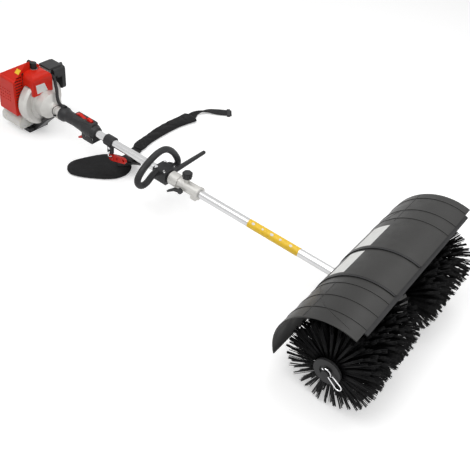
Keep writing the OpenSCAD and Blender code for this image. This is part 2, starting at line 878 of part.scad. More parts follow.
module clutch_housing() color("silver") difference() {
    union() {
        bell_outline(0);
        block([clutch_x1 - bell_ear_len, clutch_x1 - bell_ear_in], [-bell_ear_w / 2, bell_ear_w / 2],
            [axis_h - bell_neck_r - bell_ear_h, axis_h - tube_r - bell_ear_in]);
    }
    turned() polygon([[0, clutch_x0 - over], [bell_in, clutch_x0 - over], [bell_in, bell_floor],
        [tube_in, bell_floor], [tube_in, clutch_x1 - bell_socket], [tube_seat, clutch_x1 - bell_socket],
        [tube_seat, clutch_x1 + over], [0, clutch_x1 + over]]);
    block([clutch_x1 - bell_neck_len, clutch_x1 + over], [-slit_w / 2, slit_w / 2],
        [axis_h - bell_r, axis_h - tube_in]);
    for (x = [clutch_x1 - bell_ear_in - bell_screw_r, clutch_x1 - bell_ear_len + bell_screw_r])
        bar_y(-bell_ear_w, bell_ear_w, bell_screw_r / 2, x, axis_h - bell_neck_r - bell_ear_h / 2);
}

module clutch_drum() color("dimgray") difference() {
    union() {
        bar_x(shaft_x0, drum_x0, drum_r, 0, axis_h);
        bar_x(shaft_x0, drum_x0 + drum_hub_len, drum_hub_r, 0, axis_h);
    }
    difference() {
        bar_x(shaft_x0 - over, drum_x0 - drum_wall, drum_r - drum_wall, 0, axis_h);
        bar_x(shaft_x0 - 2 * over, drum_x0, drum_hub_r, 0, axis_h);
    }
    bar_x(shaft_x0 - over, drum_x0 + drum_hub_len + over, shaft_r + seat, 0, axis_h);
}

module cylinder_fin(z, draw) translate([cyl_x, 0, z]) linear_extrude(fin_t)
    round_rect([draw - fin_w / 2, fin_w / 2 - draw], [draw - fin_w / 2, fin_w / 2 - draw], fin_round);

module cylinder_node() color("lightgray") difference() {
    union() {
        bar_z(cyl_base_z + seat, cyl_top_z, cyl_r, cyl_x, 0);
        for (k = [0 : fins - 1])
            cylinder_fin(cyl_base_z + (k + fin_start_share) * fin_pitch,
                k < fins - fins_drawn ? 0 : fin_draw);
        block([cyl_x - port_w / 2, cyl_x + port_w / 2], [-port_y, port_y],
            [port_z - port_w / 2, port_z + port_w / 2]);
        bar_z(cyl_top_z - over, cyl_top_z + plug_boss_h, plug_boss_r, cyl_x, 0);
    }
    bar_z(cyl_top_z - plug_len, cyl_top_z + plug_boss_h + over, plug_r + seat, cyl_x, 0);
}

module spark_plug() color("whitesmoke") {
    bar_z(cyl_top_z - plug_len + seat, cyl_top_z + plug_body_h, plug_r, cyl_x, 0);
    bar_z(cyl_top_z + plug_boss_h + seat, cyl_top_z + plug_hex_h, plug_hex_r, cyl_x, 0);
    bar_z(cyl_top_z + plug_body_h - over, cyl_top_z + plug_tip_h, plug_tip_r, cyl_x, 0);
}

module spark_plug_boot() color("#202020") difference() {
    union() {
        bar_z(cyl_top_z + plug_body_h + seat, cyl_top_z + plug_body_h + boot_len, boot_r, cyl_x, 0);
        bar_x(cyl_x - boot_arm, cyl_x, boot_arm_r, 0, cyl_top_z + plug_body_h + boot_len - boot_arm_r);
    }
    bar_z(cyl_top_z + plug_body_h - over, cyl_top_z + plug_tip_h + seat, plug_tip_r + seat, cyl_x, 0);
}

// Red covers: the front one over the cylinder, the rear one round the muffler and over the head
module rear_outline() {
    hull() {
        translate([rear_y0 + rear_round, rear_mid_z]) circle(rear_round);
        translate([rear_peak_y, rear_peak_z - rear_round]) circle(rear_round);
        translate([rear_left_y - rear_round, rear_left_z]) circle(rear_round);
        translate([rear_left_y - rear_round, rear_mid_z + rear_round]) circle(rear_round);
    }
    round_rect([rear_y0, rear_step], [rear_z0, rear_mid_z + rear_round], rear_round / 2);
}

module rear_block(inset) intersection() {
    along_x(rear_x0 + inset, cover_split - inset) offset(delta = -inset) rear_outline();
    along_y(rear_y0 - over, rear_left_y + over) hull() {
        for (z = [rear_z0, rear_back_z - inset - rear_round])
            translate([rear_x0 + inset + rear_round, z]) circle(rear_round);
        for (z = [rear_z0, rear_peak_z - inset - rear_round / 2])
            translate([cover_split + rear_round, z]) circle(rear_round);
    }
}

module muffler_cover() color("red") difference() {
    rear_block(0);
    rear_block(cover_wall);
    block([rear_x0 - over, cover_split + over], [rear_step, rear_left_y + over], [rear_z0 - over,
        seat_block_z + seat]);
    block([rear_x0 + cover_wall, cover_split + over], [muffler_y1, rear_left_y - cover_wall],
        [seat_block_z - over, rear_mid_z]);
    block([cyl_x - fin_w / 2 - head_room, cover_split + over], [muffler_y1, rear_left_y + over],
        [seat_block_z - over, cyl_top_z + head_room]);
    block([rear_x0 + cover_wall, cover_split + over], [muffler_y1, rear_step + over],
        [rear_z0 + cover_wall, seat_block_z]);
    bar_z(cyl_top_z, rear_peak_z + over, boot_r + boot_room, cyl_x, 0);
    block([cyl_x - boot_arm - boot_room, cyl_x], [-boot_arm_r - boot_room, boot_arm_r + boot_room],
        [cyl_top_z, rear_peak_z + over]);
    for (k = [0 : slots - 1])
        block([cover_split - cover_wall - over, cover_split + over], [slot_y0, slot_y1],
            [slot_z0 + k * slot_pitch - slot_w / 2, slot_z0 + k * slot_pitch + slot_w / 2]);
    for (i = [0 : hole_cols - 1], j = [0 : hole_rows - 1])
        bar_y(rear_y0 - over, rear_y0 + cover_wall + over, hole_r, hole_x0 + i * hole_pitch,
            hole_z0 + j * hole_pitch);
}

module cover_outline() {
    round_rect([-cover_right, cover_left], [cover_z0, cover_top], cover_round);
    translate([-cover_right, cover_z0]) square([cover_right + cover_left, cover_round]);
}

module front_block(inset) intersection() {
    along_x(cover_split + seat, cover_x1 - inset) offset(delta = -inset) cover_outline();
    along_y(-cover_right - over, cover_left + over)
        round_rect([cover_split - cover_round, cover_x1 - inset], [cover_z0 - cover_round,
            cover_top - inset],
            cover_round - inset);
}

module engine_cover() color("red") difference() {
    front_block(0);
    difference() {
        front_block(cover_wall);
        block([cover_split, cover_x1], [-cover_right, cover_left], [cover_z0 - over,
            cover_z0 + cover_wall]);
    }
    block([cover_split - over, cover_split + 2 * over], [-cover_right + cover_wall,
        cover_left - cover_wall],
        [cover_z0 + cover_wall, cover_top - cover_round]);
    fan_outline(seat);
    bell_outline(seat);
    block([cover_split - over, fan_x1 + seat], [-seat_block_w / 2 - seat, seat_block_w / 2 + seat],
        [axis_h, seat_block_z + seat]);
    block([cover_split - over, cyl_x + fin_w / 2 + gap], [cover_left - 2 * cover_wall, cover_left + over],
        [cover_z0 - over, cyl_top_z + gap]);
    bar_z(cyl_top_z, rear_peak_z + over, boot_r + boot_room, cyl_x, 0);
    starter_outline(seat);
}

module muffler() color("gray") {
    along_x(rear_x0 + cover_wall + muffler_room, cover_split - cover_wall - muffler_room)
        round_rect([rear_y0 + cover_wall + muffler_room, muffler_y1], [muffler_z0,
            rear_mid_z + muffler_rise],
            muffler_round);
    bar_y(muffler_y1 - over, -port_y - seat, exhaust_r, exhaust_x, exhaust_z);
}

module starter_cover() color("firebrick") difference() {
    union() {
        difference() {
            starter_outline(0);
            block([rear_x0 - gap, fan_x0], [rear_y0, rear_step + gap], [rear_z0 - gap, rear_peak_z]);
            block([seat_block_x0 - seat, fan_x0], [-seat_block_w / 2 - seat, seat_block_w / 2 + seat],
                [axis_h - seat, axis_h + fan_r]);
        }
        bar_y(starter_r / 2, eye_end, eye_r, eye_x, eye_z);
        bar_x(starter_x0 - cap_t, starter_x0 + over, cap_r, 0, axis_h);
    }
    for (k = [0 : vents - 1])
        translate([0, 0, axis_h]) rotate([k * 360 / vents, 0, 0])
            block([starter_x0 - over, starter_x0 + vent_depth], [-vent_w / 2, vent_w / 2], [vent_r0,
                vent_r1]);
    bar_y(starter_r / 3, eye_end + over, pull_stem_r + run_fit, eye_x, eye_z);
    bar_x(starter_x0 + vent_depth - chamber_lap, seat_block_x0 - chamber_wall, chamber_r, 0, axis_h);
}

module starter_handle() color("#202020") {
    bar_y(eye_end - pull_stem, eye_end + pull_r, pull_stem_r, eye_x, eye_z);
    bar_x(eye_x - pull_w / 2, eye_x + pull_w / 2, pull_r, eye_end + pull_r + gap, eye_z);
    for (x = [eye_x - pull_w / 2, eye_x + pull_w / 2])
        translate([x, eye_end + pull_r + gap, eye_z]) sphere(pull_r);
}

module fuel_tank() color("white", 0.8) difference() {
    union() {
        intersection() {
            along_x(tank_x0, tank_x1)
                round_rect([-tank_w / 2, tank_w / 2], [tank_z0, tank_z0 + tank_h], tank_round);
            along_y(-tank_w, tank_w)
                round_rect([tank_x0, tank_x1], [tank_z0, tank_z0 + tank_h], tank_edge);
        }
        bar_y(tank_w / 2 - filler_r, tank_w / 2 + filler_len, filler_r, neck_x, neck_z);
    }
    starter_outline(seat);
    stand_body();
}

module fuel_cap() color("#202020") difference() {
    bar_y(tank_w / 2 + gap, tank_w / 2 + gap + cap_depth, cap_rim_r, neck_x, neck_z);
    bar_y(tank_w / 2, tank_w / 2 + filler_len + gap, filler_r + run_fit, neck_x, neck_z);
    for (k = [0 : cap_grips - 1])
        bar_y(tank_w / 2, tank_w / 2 + cap_depth + over, cap_grip_r,
            neck_x + cap_rim_r * cos(k * 360 / cap_grips), neck_z + cap_rim_r * sin(k * 360 / cap_grips));
}

module stand_body() {
    linear_extrude(foot_t) round_rect([foot_x0, foot_x1], [-foot_w / 2, foot_w / 2], foot_round);
    along_y(-arm_w / 2, arm_w / 2)
        polygon([[foot_x1 - 2 * arm_t, 0], [foot_x1, 0], [arm_x, arm_z - arm_t], [arm_x, arm_z],
            [arm_x - arm_t, arm_z], [foot_x1 - arm_t, arm_t], [foot_x1 - arm_t, foot_t],
            [foot_x1 - 2 * arm_t, foot_t]]);
    along_y(-arm_w / 2, arm_w / 2)
        polygon([[foot_x1 - 2 * arm_t, foot_t - over], [foot_x1 - arm_t, foot_t - over], [strut_x, strut_z],
            [strut_x - arm_t, strut_z]]);
    for (y = [-arm_w / 2, arm_w / 2 - arm_t / 2])
        along_y(y, y + arm_t / 2)
            polygon([[foot_x1 - arm_t, min(arm_t, foot_t) - over], [arm_x - arm_t, arm_z - over],
                [strut_x, strut_z]]);
}

module engine_stand() color("#1c1c1c") difference() {
    stand_body();
    fan_outline(seat);
    bell_outline(seat);
    starter_outline(seat);
}

module carburettor() color("darkgray") difference() {
    union() {
        along_y(carb_y0, carb_y1) round_rect([carb_x0, carb_x1], [carb_z0, carb_z1], carb_round);
        bar_x(carb_x0 - bulb_boss, carb_x0 + over, bulb_r + bulb_rim, carb_y, bulb_z);
        bar_x(carb_x1 - over, conduit_start[0] - seat, conduit_r, conduit_start[1], conduit_start[2]);
    }
    bar_x(carb_x0 - bulb_boss - over, carb_x0 + bulb_in, bulb_r + gap, carb_y, bulb_z);
}

module primer_bulb() color("whitesmoke") {
    bar_x(carb_x0 - bulb_boss - bulb_travel - gap, carb_x0 + bulb_in - bulb_travel - gap, bulb_r,
        carb_y, bulb_z);
    translate([carb_x0 - bulb_boss - bulb_travel - gap, carb_y, bulb_z]) sphere(bulb_r);
}

module choke_lever() color("#303030") difference() {
    union() {
        bar_y(base_y1 + gap, base_y1 + gap + choke_t, choke_r, choke_x, choke_z);
        bar_y(base_y0 + choke_pin_in, base_y1 + gap + choke_t, choke_pin_r, choke_x, choke_z);
        block([choke_x - choke_len, choke_x], [base_y1 + gap, base_y1 + gap + choke_t],
            [choke_z - choke_w / 2, choke_z + choke_w / 2]);
    }
    bar_y(base_y1, base_y1 + 2 * choke_t, choke_eye_r, choke_x - choke_len + choke_w / 2, choke_z);
}

module filter_base() color("#1c1c1c") difference() {
    along_y(base_y0, base_y1) {
        round_rect([base_x0, base_x1], [base_z0, base_z1], filter_round);
        round_rect([tongue_x0, tongue_x1], [tongue_z0, base_z1 - filter_round], tongue_round);
    }
    bar_y(base_y0 - over, base_y1 + over, choke_pin_r + run_fit, choke_x, choke_z);
    bar_y(base_y0 - over, base_y1 + over, port_w / 3, cyl_x, port_z);
}

module filter_element() color("#3a3a30") difference() {
    along_y(base_y1 + seat, base_y1 + element_t)
        round_rect([base_x0 + element_room, base_x1 - element_room], [base_z0 + element_room,
            base_z1 - element_room],
            filter_round - element_room);
    bar_y(base_y1, base_y1 + element_t + over, port_w / 3, cyl_x, port_z);
}

// Filter cover: a box over the element with a deeper skirt outside the fan housing
module filter_block(inset) intersection() {
    along_y(base_y1 + seat, filter_y1 - inset)
        round_rect([base_x0 + inset, base_x1 - inset], [skirt_z0 + inset, base_z1 - inset],
            filter_round - inset);
    along_x(base_x0 - over, base_x1 + over) {
        round_rect([base_y0 - filter_round, filter_y1 - inset], [base_z0 + inset, base_z1 - inset],
            filter_round - inset);
        round_rect([skirt_y0 + inset, filter_y1 - inset], [skirt_z0 + inset, base_z1 - inset], skirt_round);
        translate([base_y1, base_z0 + inset]) square([skirt_y0 - base_y1 + inset, filter_round]);
    }
}

module filter_cover() color("#1c1c1c") difference() {
    union() {
        filter_block(0);
        along_x(lip_x0, lip_x1)
            round_rect([base_y1 - lip_len, base_y1 + filter_round], [base_z1 + seat, base_z1 + lip_t],
                lip_t / 3);
        along_x(lip_x0, lip_x1)
            round_rect([base_y1 + seat, filter_y1 - filter_round], [base_z1 - filter_round,
                base_z1 + lip_t], lip_t / 3);
        bar_y(filter_y1 - filter_wall, filter_y1 + wing_boss_h, wing_boss_r, wing_x, port_z);
    }
    filter_block(filter_wall);
    bar_y(base_y1, filter_y1 + wing_boss_h + over, wing_stem_r + run_fit, wing_x, port_z);
}

module filter_knob() color("#303030") {
    y0 = filter_y1 + wing_boss_h + gap;
    bar_y(filter_y1 - wing_stem_in, y0 + wing_t, wing_stem_r, wing_x, port_z);
    bar_y(y0, y0 + wing_t, wing_r - wing_lobe_r, wing_x, port_z);
    for (k = [0 : wing_lobes - 1])
        bar_y(y0, y0 + wing_t, wing_lobe_r, wing_x + (wing_r - wing_lobe_r) * cos(90
            + k * 360 / wing_lobes),
            port_z + (wing_r - wing_lobe_r) * sin(90 + k * 360 / wing_lobes));
}

module throttle_conduit() color("#181818") {
    line = concat([conduit_start], spline(conduit_route, conduit_steps), [conduit_end]);
    pipe_skin([for (i = [0 : len(line) - 1])
            tube_ring(line, i, conduit_r + (i % 2 == 0 ? 0 : conduit_rib_h), conduit_sides, [0, 0, 1])],
        [for (i = [0 : len(line) - 1]) tube_ring(line, i, conduit_bore, conduit_sides, [0, 0, 1])]);
}

module tube(x0, x1) difference() {
    bar_x(x0, x1, tube_r, 0, axis_h);
    bar_x(x0 - over, x1 + over, tube_in, 0, axis_h);
}

module upper_tube() color("gainsboro") tube(clutch_x1 - bell_socket + seat, joint_x - joint_gap);

module lower_tube() color("gainsboro") tube(joint_x, tube_stop_x);

module upper_drive_shaft() color("slategray") difference() {
    union() {
        bar_x(shaft_x0, socket_x1 - over, shaft_r, 0, axis_h);
        bar_x(socket_x1 - socket_len, socket_x1, socket_r, 0, axis_h);
    }
    block([socket_x1 - tongue_len - socket_floor, socket_x1 + over], [-tongue / 2 - run_fit,
        tongue / 2 + run_fit],
        [axis_h - tongue / 2 - run_fit, axis_h + tongue / 2 + run_fit]);
}

// A toothed ring of a bevel gear at a share of its cone distance: every line meets the cone's apex
function bevel_ring(cone, teeth, share) =
    let (pitch = PI * tooth_module, root = -tooth_module * root_share, tip = tooth_module * tip_share,
        root_half = pitch * (tooth_share / 2 + flank_share * root_share / PI),
        tip_half = pitch * (tooth_share / 2 - flank_share * tip_share / PI))
    [for (k = [0 : teeth - 1], c = [[-root_half, root], [-tip_half, tip], [tip_half, tip], [root_half,
        root]])
        let (a = 360 * k / teeth, r = share * (cone_len * sin(cone) + c[1] * cos(cone)),
            z = share * (cone_len * cos(cone) - c[1] * sin(cone)), h = share * c[0])
        [r * cos(a) - h * sin(a), r * sin(a) + h * cos(a), z]];

// A bevel gear as one closed skin: toothed cone, tapered back and two end fans
module bevel_wheel(cone, teeth, back, back_r) {
    near = bevel_ring(cone, teeth, 1 - face_share);
    far = bevel_ring(cone, teeth, 1);
    back_z = max([for (p = far) p[2]]) + back;
    rear = [for (p = far) let (a = atan2(p[1], p[0])) [back_r * cos(a), back_r * sin(a), back_z]];
    n = len(near);
    near_z = min([for (p = near) p[2]]);
    points = concat(near, far, rear, [[0, 0, near_z], [0, 0, back_z]]);
    walls = [for (i = [0, 1], k = [0 : n - 1])
        let (a = i * n + k, b = i * n + (k + 1) % n)
        each [[a, a + n, b + n], [a, b + n, b]]];
    fans = [for (k = [0 : n - 1])
        let (j = (k + 1) % n)
        each [[k, j, 3 * n], [2 * n + j, 2 * n + k, 3 * n + 1]]];
    polyhedron(points, concat(walls, fans));
}

module lower_drive_shaft() color("slategray") {
    block([socket_x1 - tongue_len, socket_x1 + joint_gap], [-tongue / 2, tongue / 2],
        [axis_h - tongue / 2, axis_h + tongue / 2]);
    bar_x(socket_x1 + joint_gap - over, brush_x - cone_len * cos(pinion_cone), shaft_r, 0, axis_h);
    translate([brush_x, 0, axis_h]) rotate([0, -90, 0]) {
        rotate([0, 0, 90]) bevel_wheel(pinion_cone, pinion_teeth, pinion_back, pinion_hub_r);
    }
}

module bush(x) difference() {
    bar_x(x - bush_len / 2, x + bush_len / 2, tube_in - seat, 0, axis_h);
    bar_x(x - bush_len, x + bush_len, shaft_r + run_fit, 0, axis_h);
}

module tube_bushes() color("#8c8c80") for (share = bush_shares)
    bush(clutch_x1 + (joint_x - socket_len - clutch_x1) * share);

module lower_bushes() color("#8c8c80") for (share = lower_bush_shares)
    bush(coupler_x1 + (neck_in_x - coupler_x1) * share);

module coupler_body() color("lightgray") difference() {
    union() {
        bar_x(coupler_x, coupler_x1, coupler_r, 0, axis_h);
        bar_x(coupler_x, coupler_x + shoulder_len, shoulder_r, 0, axis_h);
        bar_x(coupler_x1 - collar_rim_len, coupler_x1, collar_rim_r, 0, axis_h);
        bar_z(axis_h, boss_z, boss_r, knob_x, 0);
        block([ear_x0, ear_x1], [-ear_w, ear_w], [axis_h - coupler_r - ear_h, axis_h]);
        bar_y(latch_y0, 0, latch_boss_r, latch_px, latch_pz);
    }
    bar_x(coupler_x - over, coupler_x1 + over, tube_seat, 0, axis_h);
    bar_z(axis_h, boss_z + over, stem_r + run_fit, knob_x, 0);
    block([slit_x0, coupler_x1 + over], [-slit_w / 2, slit_w / 2], [axis_h - coupler_r - ear_h - over,
        axis_h]);
    bar_y(latch_y0 - over, latch_hole_y1, latch_pin_r + run_fit, latch_px, latch_pz);
}

module coupler_knob() color("#1c1c1c") {
    z0 = boss_z + gap;
    bar_z(axis_h + tube_r + stem_room, z0 + over, stem_r, knob_x, 0);
    bar_z(z0, z0 + knob_h, knob_core_r, knob_x, 0);
    for (k = [0 : knob_lobes - 1])
        bar_z(z0 + knob_edge, z0 + knob_h - knob_edge, knob_lobe_r,
            knob_x + (knob_d / 2 - knob_lobe_r) * cos(k * 360 / knob_lobes),
            (knob_d / 2 - knob_lobe_r) * sin(k * 360 / knob_lobes));
}

module coupler_latch() color("#1c1c1c") {
    bar_y(latch_y0 - gap - latch_t, latch_pin_y1, latch_pin_r, latch_px, latch_pz);
    along_y(latch_y0 - gap - latch_t, latch_y0 - gap) {
        translate([latch_px, latch_pz]) circle(latch_bar);
        hull() {
            translate([latch_px, latch_pz]) circle(latch_bar / 2);
            translate([latch_px - latch_len / 2, latch_pz - latch_bend]) circle(latch_bar / 2);
        }
        hull() {
            translate([latch_px - latch_len / 2, latch_pz - latch_bend]) circle(latch_bar / 2);
            translate([latch_px - latch_len, latch_pz - latch_drop]) circle(latch_bar / 3);
        }
    }
}

// Throttle grip: one outline, split down the middle
module grip_outline() union() {
    turned() polygon([[0, grip_x], [collar_r, grip_x], [collar_r, grip_x + collar_len],
        [neck_r, grip_x + collar_len + collar_fall], [neck_r - waist_draw, waist_x],
        [neck_r + waist_draw, grip_x1 - front_len - front_rise / 2], [front_r,
            grip_x1 - front_len + front_rise / 2],
        [front_r, grip_x1 - front_fall], [nose_r, grip_x1], [0, grip_x1]]);
    bar_x(grip_x, grip_x + collar_len, conduit_boss, conduit_end[1], conduit_end[2]);
    along_y(-front_w / 2, front_w / 2) round_rect([front_x0, front_x1], [front_z0, axis_h], front_round);
    along_y(-crest_w / 2, crest_w / 2) round_rect([crest_x0, crest_x1], [axis_h, crest_z], crest_round);
}

module grip_cuts() {
    bar_x(grip_x - over, grip_x1 + over, tube_seat, 0, axis_h);
    block([front_x0 - over, pocket_x1], [-trigger_w / 2 - gap, trigger_w / 2 + gap], [front_z0 - over,
        pocket_z1]);
    bar_y(-trigger_pin_y - gap, trigger_pin_y + gap, trigger_pin_r + run_fit, trigger_px, trigger_pz);
    block([lock_x0 - lock_ends, lock_x1 + lock_ends], [-lock_w / 2 - gap, lock_w / 2 + gap],
        [lock_floor, crest_z + over]);
    bar_y(-lock_pin_y - gap, lock_pin_y + gap, lock_pin_r + run_fit, lock_px, lock_pz);
    block([switch_x0 - gap, switch_x0 + switch_len + switch_travel + gap], [-switch_w / 2 - gap,
        switch_w / 2 + gap],
        [crest_z - switch_deep, crest_z + over]);
    bar_x(grip_x - over, grip_x + collar_len, conduit_hole, conduit_end[1], conduit_end[2]);
    for (p = screw_places) {
        bar_y(-screw_seat_y - over, screw_seat_y, screw_shank_r + seat, p[0], p[1]);
        bar_y(-collar_r, -screw_seat_y, screw_r + seat, p[0], p[1]);
    }
}

module grip_half(side) difference() {
    intersection() {
        grip_outline();
        block([grip_x - over, grip_x1 + over], side > 0 ? [seat, collar_r + over] : [-collar_r - over, 0],
            [front_z0 - over, crest_z + over]);
    }
    grip_cuts();
}

module grip_left() color("#262626") grip_half(1);

module grip_right() color("#262626") grip_half(-1);

module throttle_trigger() color("red") {
    bend = [trigger_px - trigger_len * trigger_bend_share, trigger_pz - trigger_drop * trigger_fall_share];
    bar_y(-trigger_pin_y, trigger_pin_y, trigger_pin_r, trigger_px, trigger_pz);
    along_y(-trigger_w / 2, trigger_w / 2) {
        translate([trigger_px, trigger_pz]) circle(trigger_boss_r);
        hull() {
            translate([trigger_px, trigger_pz]) circle(trigger_t / 2);
            translate(bend) circle(trigger_t / 2);
        }
        hull() {
            translate(bend) circle(trigger_t / 2);
            translate([trigger_px - trigger_len, trigger_pz - trigger_drop]) circle(trigger_t / 3);
        }
    }
}

module throttle_lock() color("red") {
    bar_y(-lock_pin_y, lock_pin_y, lock_pin_r, lock_px, lock_pz);
    along_y(-lock_w / 2, lock_w / 2) hull() {
        translate([lock_px, lock_pz]) circle(lock_root_r);
        translate([lock_tip_x, lock_tip_z]) circle(lock_tip_r);
        translate([lock_hump_x, lock_hump_z]) circle(lock_tip_r);
    }
}

module stop_switch() color("red") {
    block([switch_x0, switch_x0 + switch_len], [-switch_w / 2, switch_w / 2],
        [crest_z - switch_deep + gap, switch_top]);
    along_y(-switch_w / 2 + over, switch_w / 2 - over) hull() {
        translate([switch_x0 + switch_ridge, crest_z + switch_rise - switch_ridge]) circle(switch_ridge);
        translate([switch_x0 + switch_len - switch_toe, crest_z]) circle(switch_toe);
        translate([switch_x0 + switch_toe, switch_top - switch_toe]) circle(switch_toe);
    }
}

module grip_screws() for (p = screw_places) {
    bar_y(-screw_seat_y - screw_head, screw_seat_y - seat, screw_shank_r, p[0], p[1]);
    bar_y(-screw_seat_y - screw_head, -screw_seat_y - seat, screw_r, p[0], p[1]);
}

module hanger_clamp() color("#1c1c1c") difference() {
    union() {
        bar_x(hanger_x - hanger_w / 2, hanger_x + hanger_w / 2, hanger_r, 0, axis_h);
        along_y(-tab_t / 2, tab_t / 2)
            round_rect([hanger_x - tab_w / 2, hanger_x + tab_w / 2], [tab_z0, axis_h], tab_round);
    }
    bar_x(hanger_x - hanger_w, hanger_x + hanger_w, tube_seat, 0, axis_h);
    bar_y(-hanger_w, hanger_w, eye_hole_r, hanger_x, eye_hole_z);
    bar_y(-hanger_w, hanger_w, strap_bolt_r + seat, hanger_x, strap_bolt_z);
}

module hanger_bolts() {
    bar_y(-tab_t / 2 - strap_bolt_head_t, tab_t / 2 + strap_bolt_head_t, strap_bolt_r, hanger_x,
        strap_bolt_z);
    for (y = [-tab_t / 2 - strap_bolt_head_t, tab_t / 2 + seat])
        bar_y(y, y + strap_bolt_head_t - seat, strap_bolt_head, hanger_x, strap_bolt_z);
}

module hanger_ring() color("silver")
    translate([hanger_x, 0, ring_z]) rotate([0, 90, 0]) rotate_extrude() translate([ring_r,
        0]) circle(ring_wire);

module harness_hook() color("red") along_y(-hook_t / 2, hook_t / 2) difference() {
    hull() {
        translate([hook_x0, hook_z0]) circle(hook_eye + hook_wall);
        translate([hook_x0 + hook_len, hook_z0 + hook_rise]) circle(hook_eye + hook_wall / 2);
    }
    translate([hook_x0, hook_z0]) circle(hook_eye);
    translate([hook_x0 + hook_len, hook_z0 + hook_rise]) circle(hook_slot_r);
    translate([hook_x0 + hook_len / 2, hook_z0 + hook_rise / 2]) circle(hook_slot_r);
}

// Hip pad: crowned rings drawn in to its bound edge, with one end more pointed
function leaf(a, share) = let (taper = 1 - pad_point_share * (1 + cos(a)) / 2 * abs(sin(a)))
    [share * pad_len / 2 * cos(a), share * pad_w / 2 * sin(a) * taper];
function leaf_ring(share, z) = [for (k = [0 : pad_ring - 1])
    let (p = leaf(360 * k / pad_ring, share)) [p[0], p[1], z]];

module hip_pad() color("#141414") translate([pad_x, pad_y, 0]) rotate([0, 0, 180 + pad_turn]) {
    skin([for (p = pad_rise_shares) leaf_ring(p[0], p[1] * pad_t)]);
}

module web_strip(route, roll, wide, thick) {
    line = spline(route, webbing_steps);
    turn = spline([for (k = [0 : len(route) - 1]) [roll[k], wide[k], thick[k]]], webbing_steps);
    skin([for (i = [0 : len(line) - 1])
        strip_ring(line, i, webbing_w * turn[i][1], webbing_t * turn[i][2], turn[i][0])]);
}

module plain_strip(route) {
    same = [for (q = route) 1];
    web_strip(route, 0 * same, same, same);
}

module webbing() color("#141414") {
    plain_strip(pad_strap_route);
    plain_strip(strap_route);
    web_strip(tail_route, tail_rolls, tail_width_shares, tail_thick_shares);
}

// Shoulder pad: a puckered sleeve, drawn in at both ends
function sleeve_ring(line, i) =
    let (f = heading(line, i), side = unit(cross([0, 0, 1], f)), s = i / (len(line) - 1),
        full = 1 + pucker_share * sin(360 * shoulder_puckers * s),
        flare = near_width_share + (1 - near_width_share) * s,
        draw = min(1, end_draw_share + end_slope_share * min(s, 1 - s)) * full * flare)
    [for (k = [0 : shoulder_ring - 1])
        let (a = 360 * k / shoulder_ring, u = cos(a), v = sin(a),
            x = sign(u) * pow(abs(u), side_power_share) * shoulder_w / 2 * draw,
            z = shoulder_t / 2 * (1 + sign(v) * pow(abs(v), crown_power_share) * (v > 0 ? full : 1)))
        line[i] - side * x + [0, 0, z]];

module shoulder_pad() color("#141414") {
    line = spline(shoulder_route, shoulder_steps);
    skin([for (i = [0 : len(line) - 1]) sleeve_ring(line, i)]);
}

module strap_buckle() color("#1c1c1c") {
    last = len(tail_route) - 1;
    at = (tail_route[last] + tail_route[last - 1]) / 2;
    f = tail_route[last] - tail_route[last - 1];
    translate([at[0], at[1], 0]) rotate([0, 0, atan2(f[1], f[0])]) difference() {
        translate([-buckle_len / 2, -webbing_w / 2 - buckle_wall, 0])
            cube([buckle_len, webbing_w + 2 * buckle_wall, buckle_t]);
        translate([-buckle_len, -webbing_w / 2 - gap, at[2] - webbing_t / 2 - gap])
            cube([2 * buckle_len, webbing_w + 2 * gap, webbing_t + 2 * gap]);
    }
}

// Loop handle: the bar is swept along hand-placed points, and its ends run into the upper clamp half
module loop_handle() color("#2a2a2a") difference() {
    union() {
        line = spline([for (p = loop_shares) [handle_x, p[0] * loop_w / 2, axis_h + p[1] * loop_h]],
            loop_steps);
        skin([for (i = [0 : len(line) - 1]) tube_ring(line, i, loop_bar / 2, loop_sides, [1, 0, 0])]);
        along_x(clamp_x0, clamp_x1)
            round_rect([-clamp_w / 2, clamp_w / 2], [axis_h - clamp_h, axis_h + clamp_h], clamp_round);
    }
    block([clamp_x0 - over, clamp_x1 + over], [-clamp_w / 2 - over, clamp_w / 2 + over],
        [axis_h - 2 * clamp_h, axis_h + clamp_split / 2]);
    bar_x(clamp_x0 - loop_bar, clamp_x1 + over, tube_seat, 0, axis_h);
    clamp_bolts(seat, 0);
}

module handle_cap() color("#1c1c1c") difference() {
    intersection() {
        along_x(clamp_x0, clamp_x1)
            round_rect([-clamp_w / 2, clamp_w / 2], [axis_h - clamp_h, axis_h + clamp_h], clamp_round);
        block([clamp_x0, clamp_x1], [-clamp_w, clamp_w], [axis_h - clamp_h, axis_h - clamp_split / 2]);
    }
    bar_x(clamp_x0 - over, clamp_x1 + over, tube_seat, 0, axis_h);
    clamp_bolts(seat, 0);
}

module clamp_bolts(extra, head) for (x = [clamp_x0 + clamp_bolt_in, clamp_x1 - clamp_bolt_in],
    y = [-clamp_bolt_y, clamp_bolt_y]) {
    bar_z(axis_h - clamp_h - over, axis_h + clamp_h + over, clamp_bolt_r + extra, x, y);
    if (head > 0)
        bar_z(axis_h + clamp_h + seat, axis_h + clamp_h + head, clamp_bolt_head, x, y);
}

module fasteners() color("silver") {
    grip_screws();
    hanger_bolts();
    clamp_bolts(0, clamp_bolt_head_t);
}

module barrier_bar() color("#2a2a2a") {
    y0 = clamp_w / 2 + seat;
    bar_y(y0, y0 + barrier_flange, barrier_flange_r, barrier_x, axis_h);
    translate([barrier_x, y0, axis_h]) rotate([-90, 0, 0])
        cylinder(r1 = barrier_d / 2, r2 = barrier_tip / 2, h = barrier_len);
    translate([barrier_x, y0 + barrier_len, axis_h]) sphere(barrier_tip / 2);
}

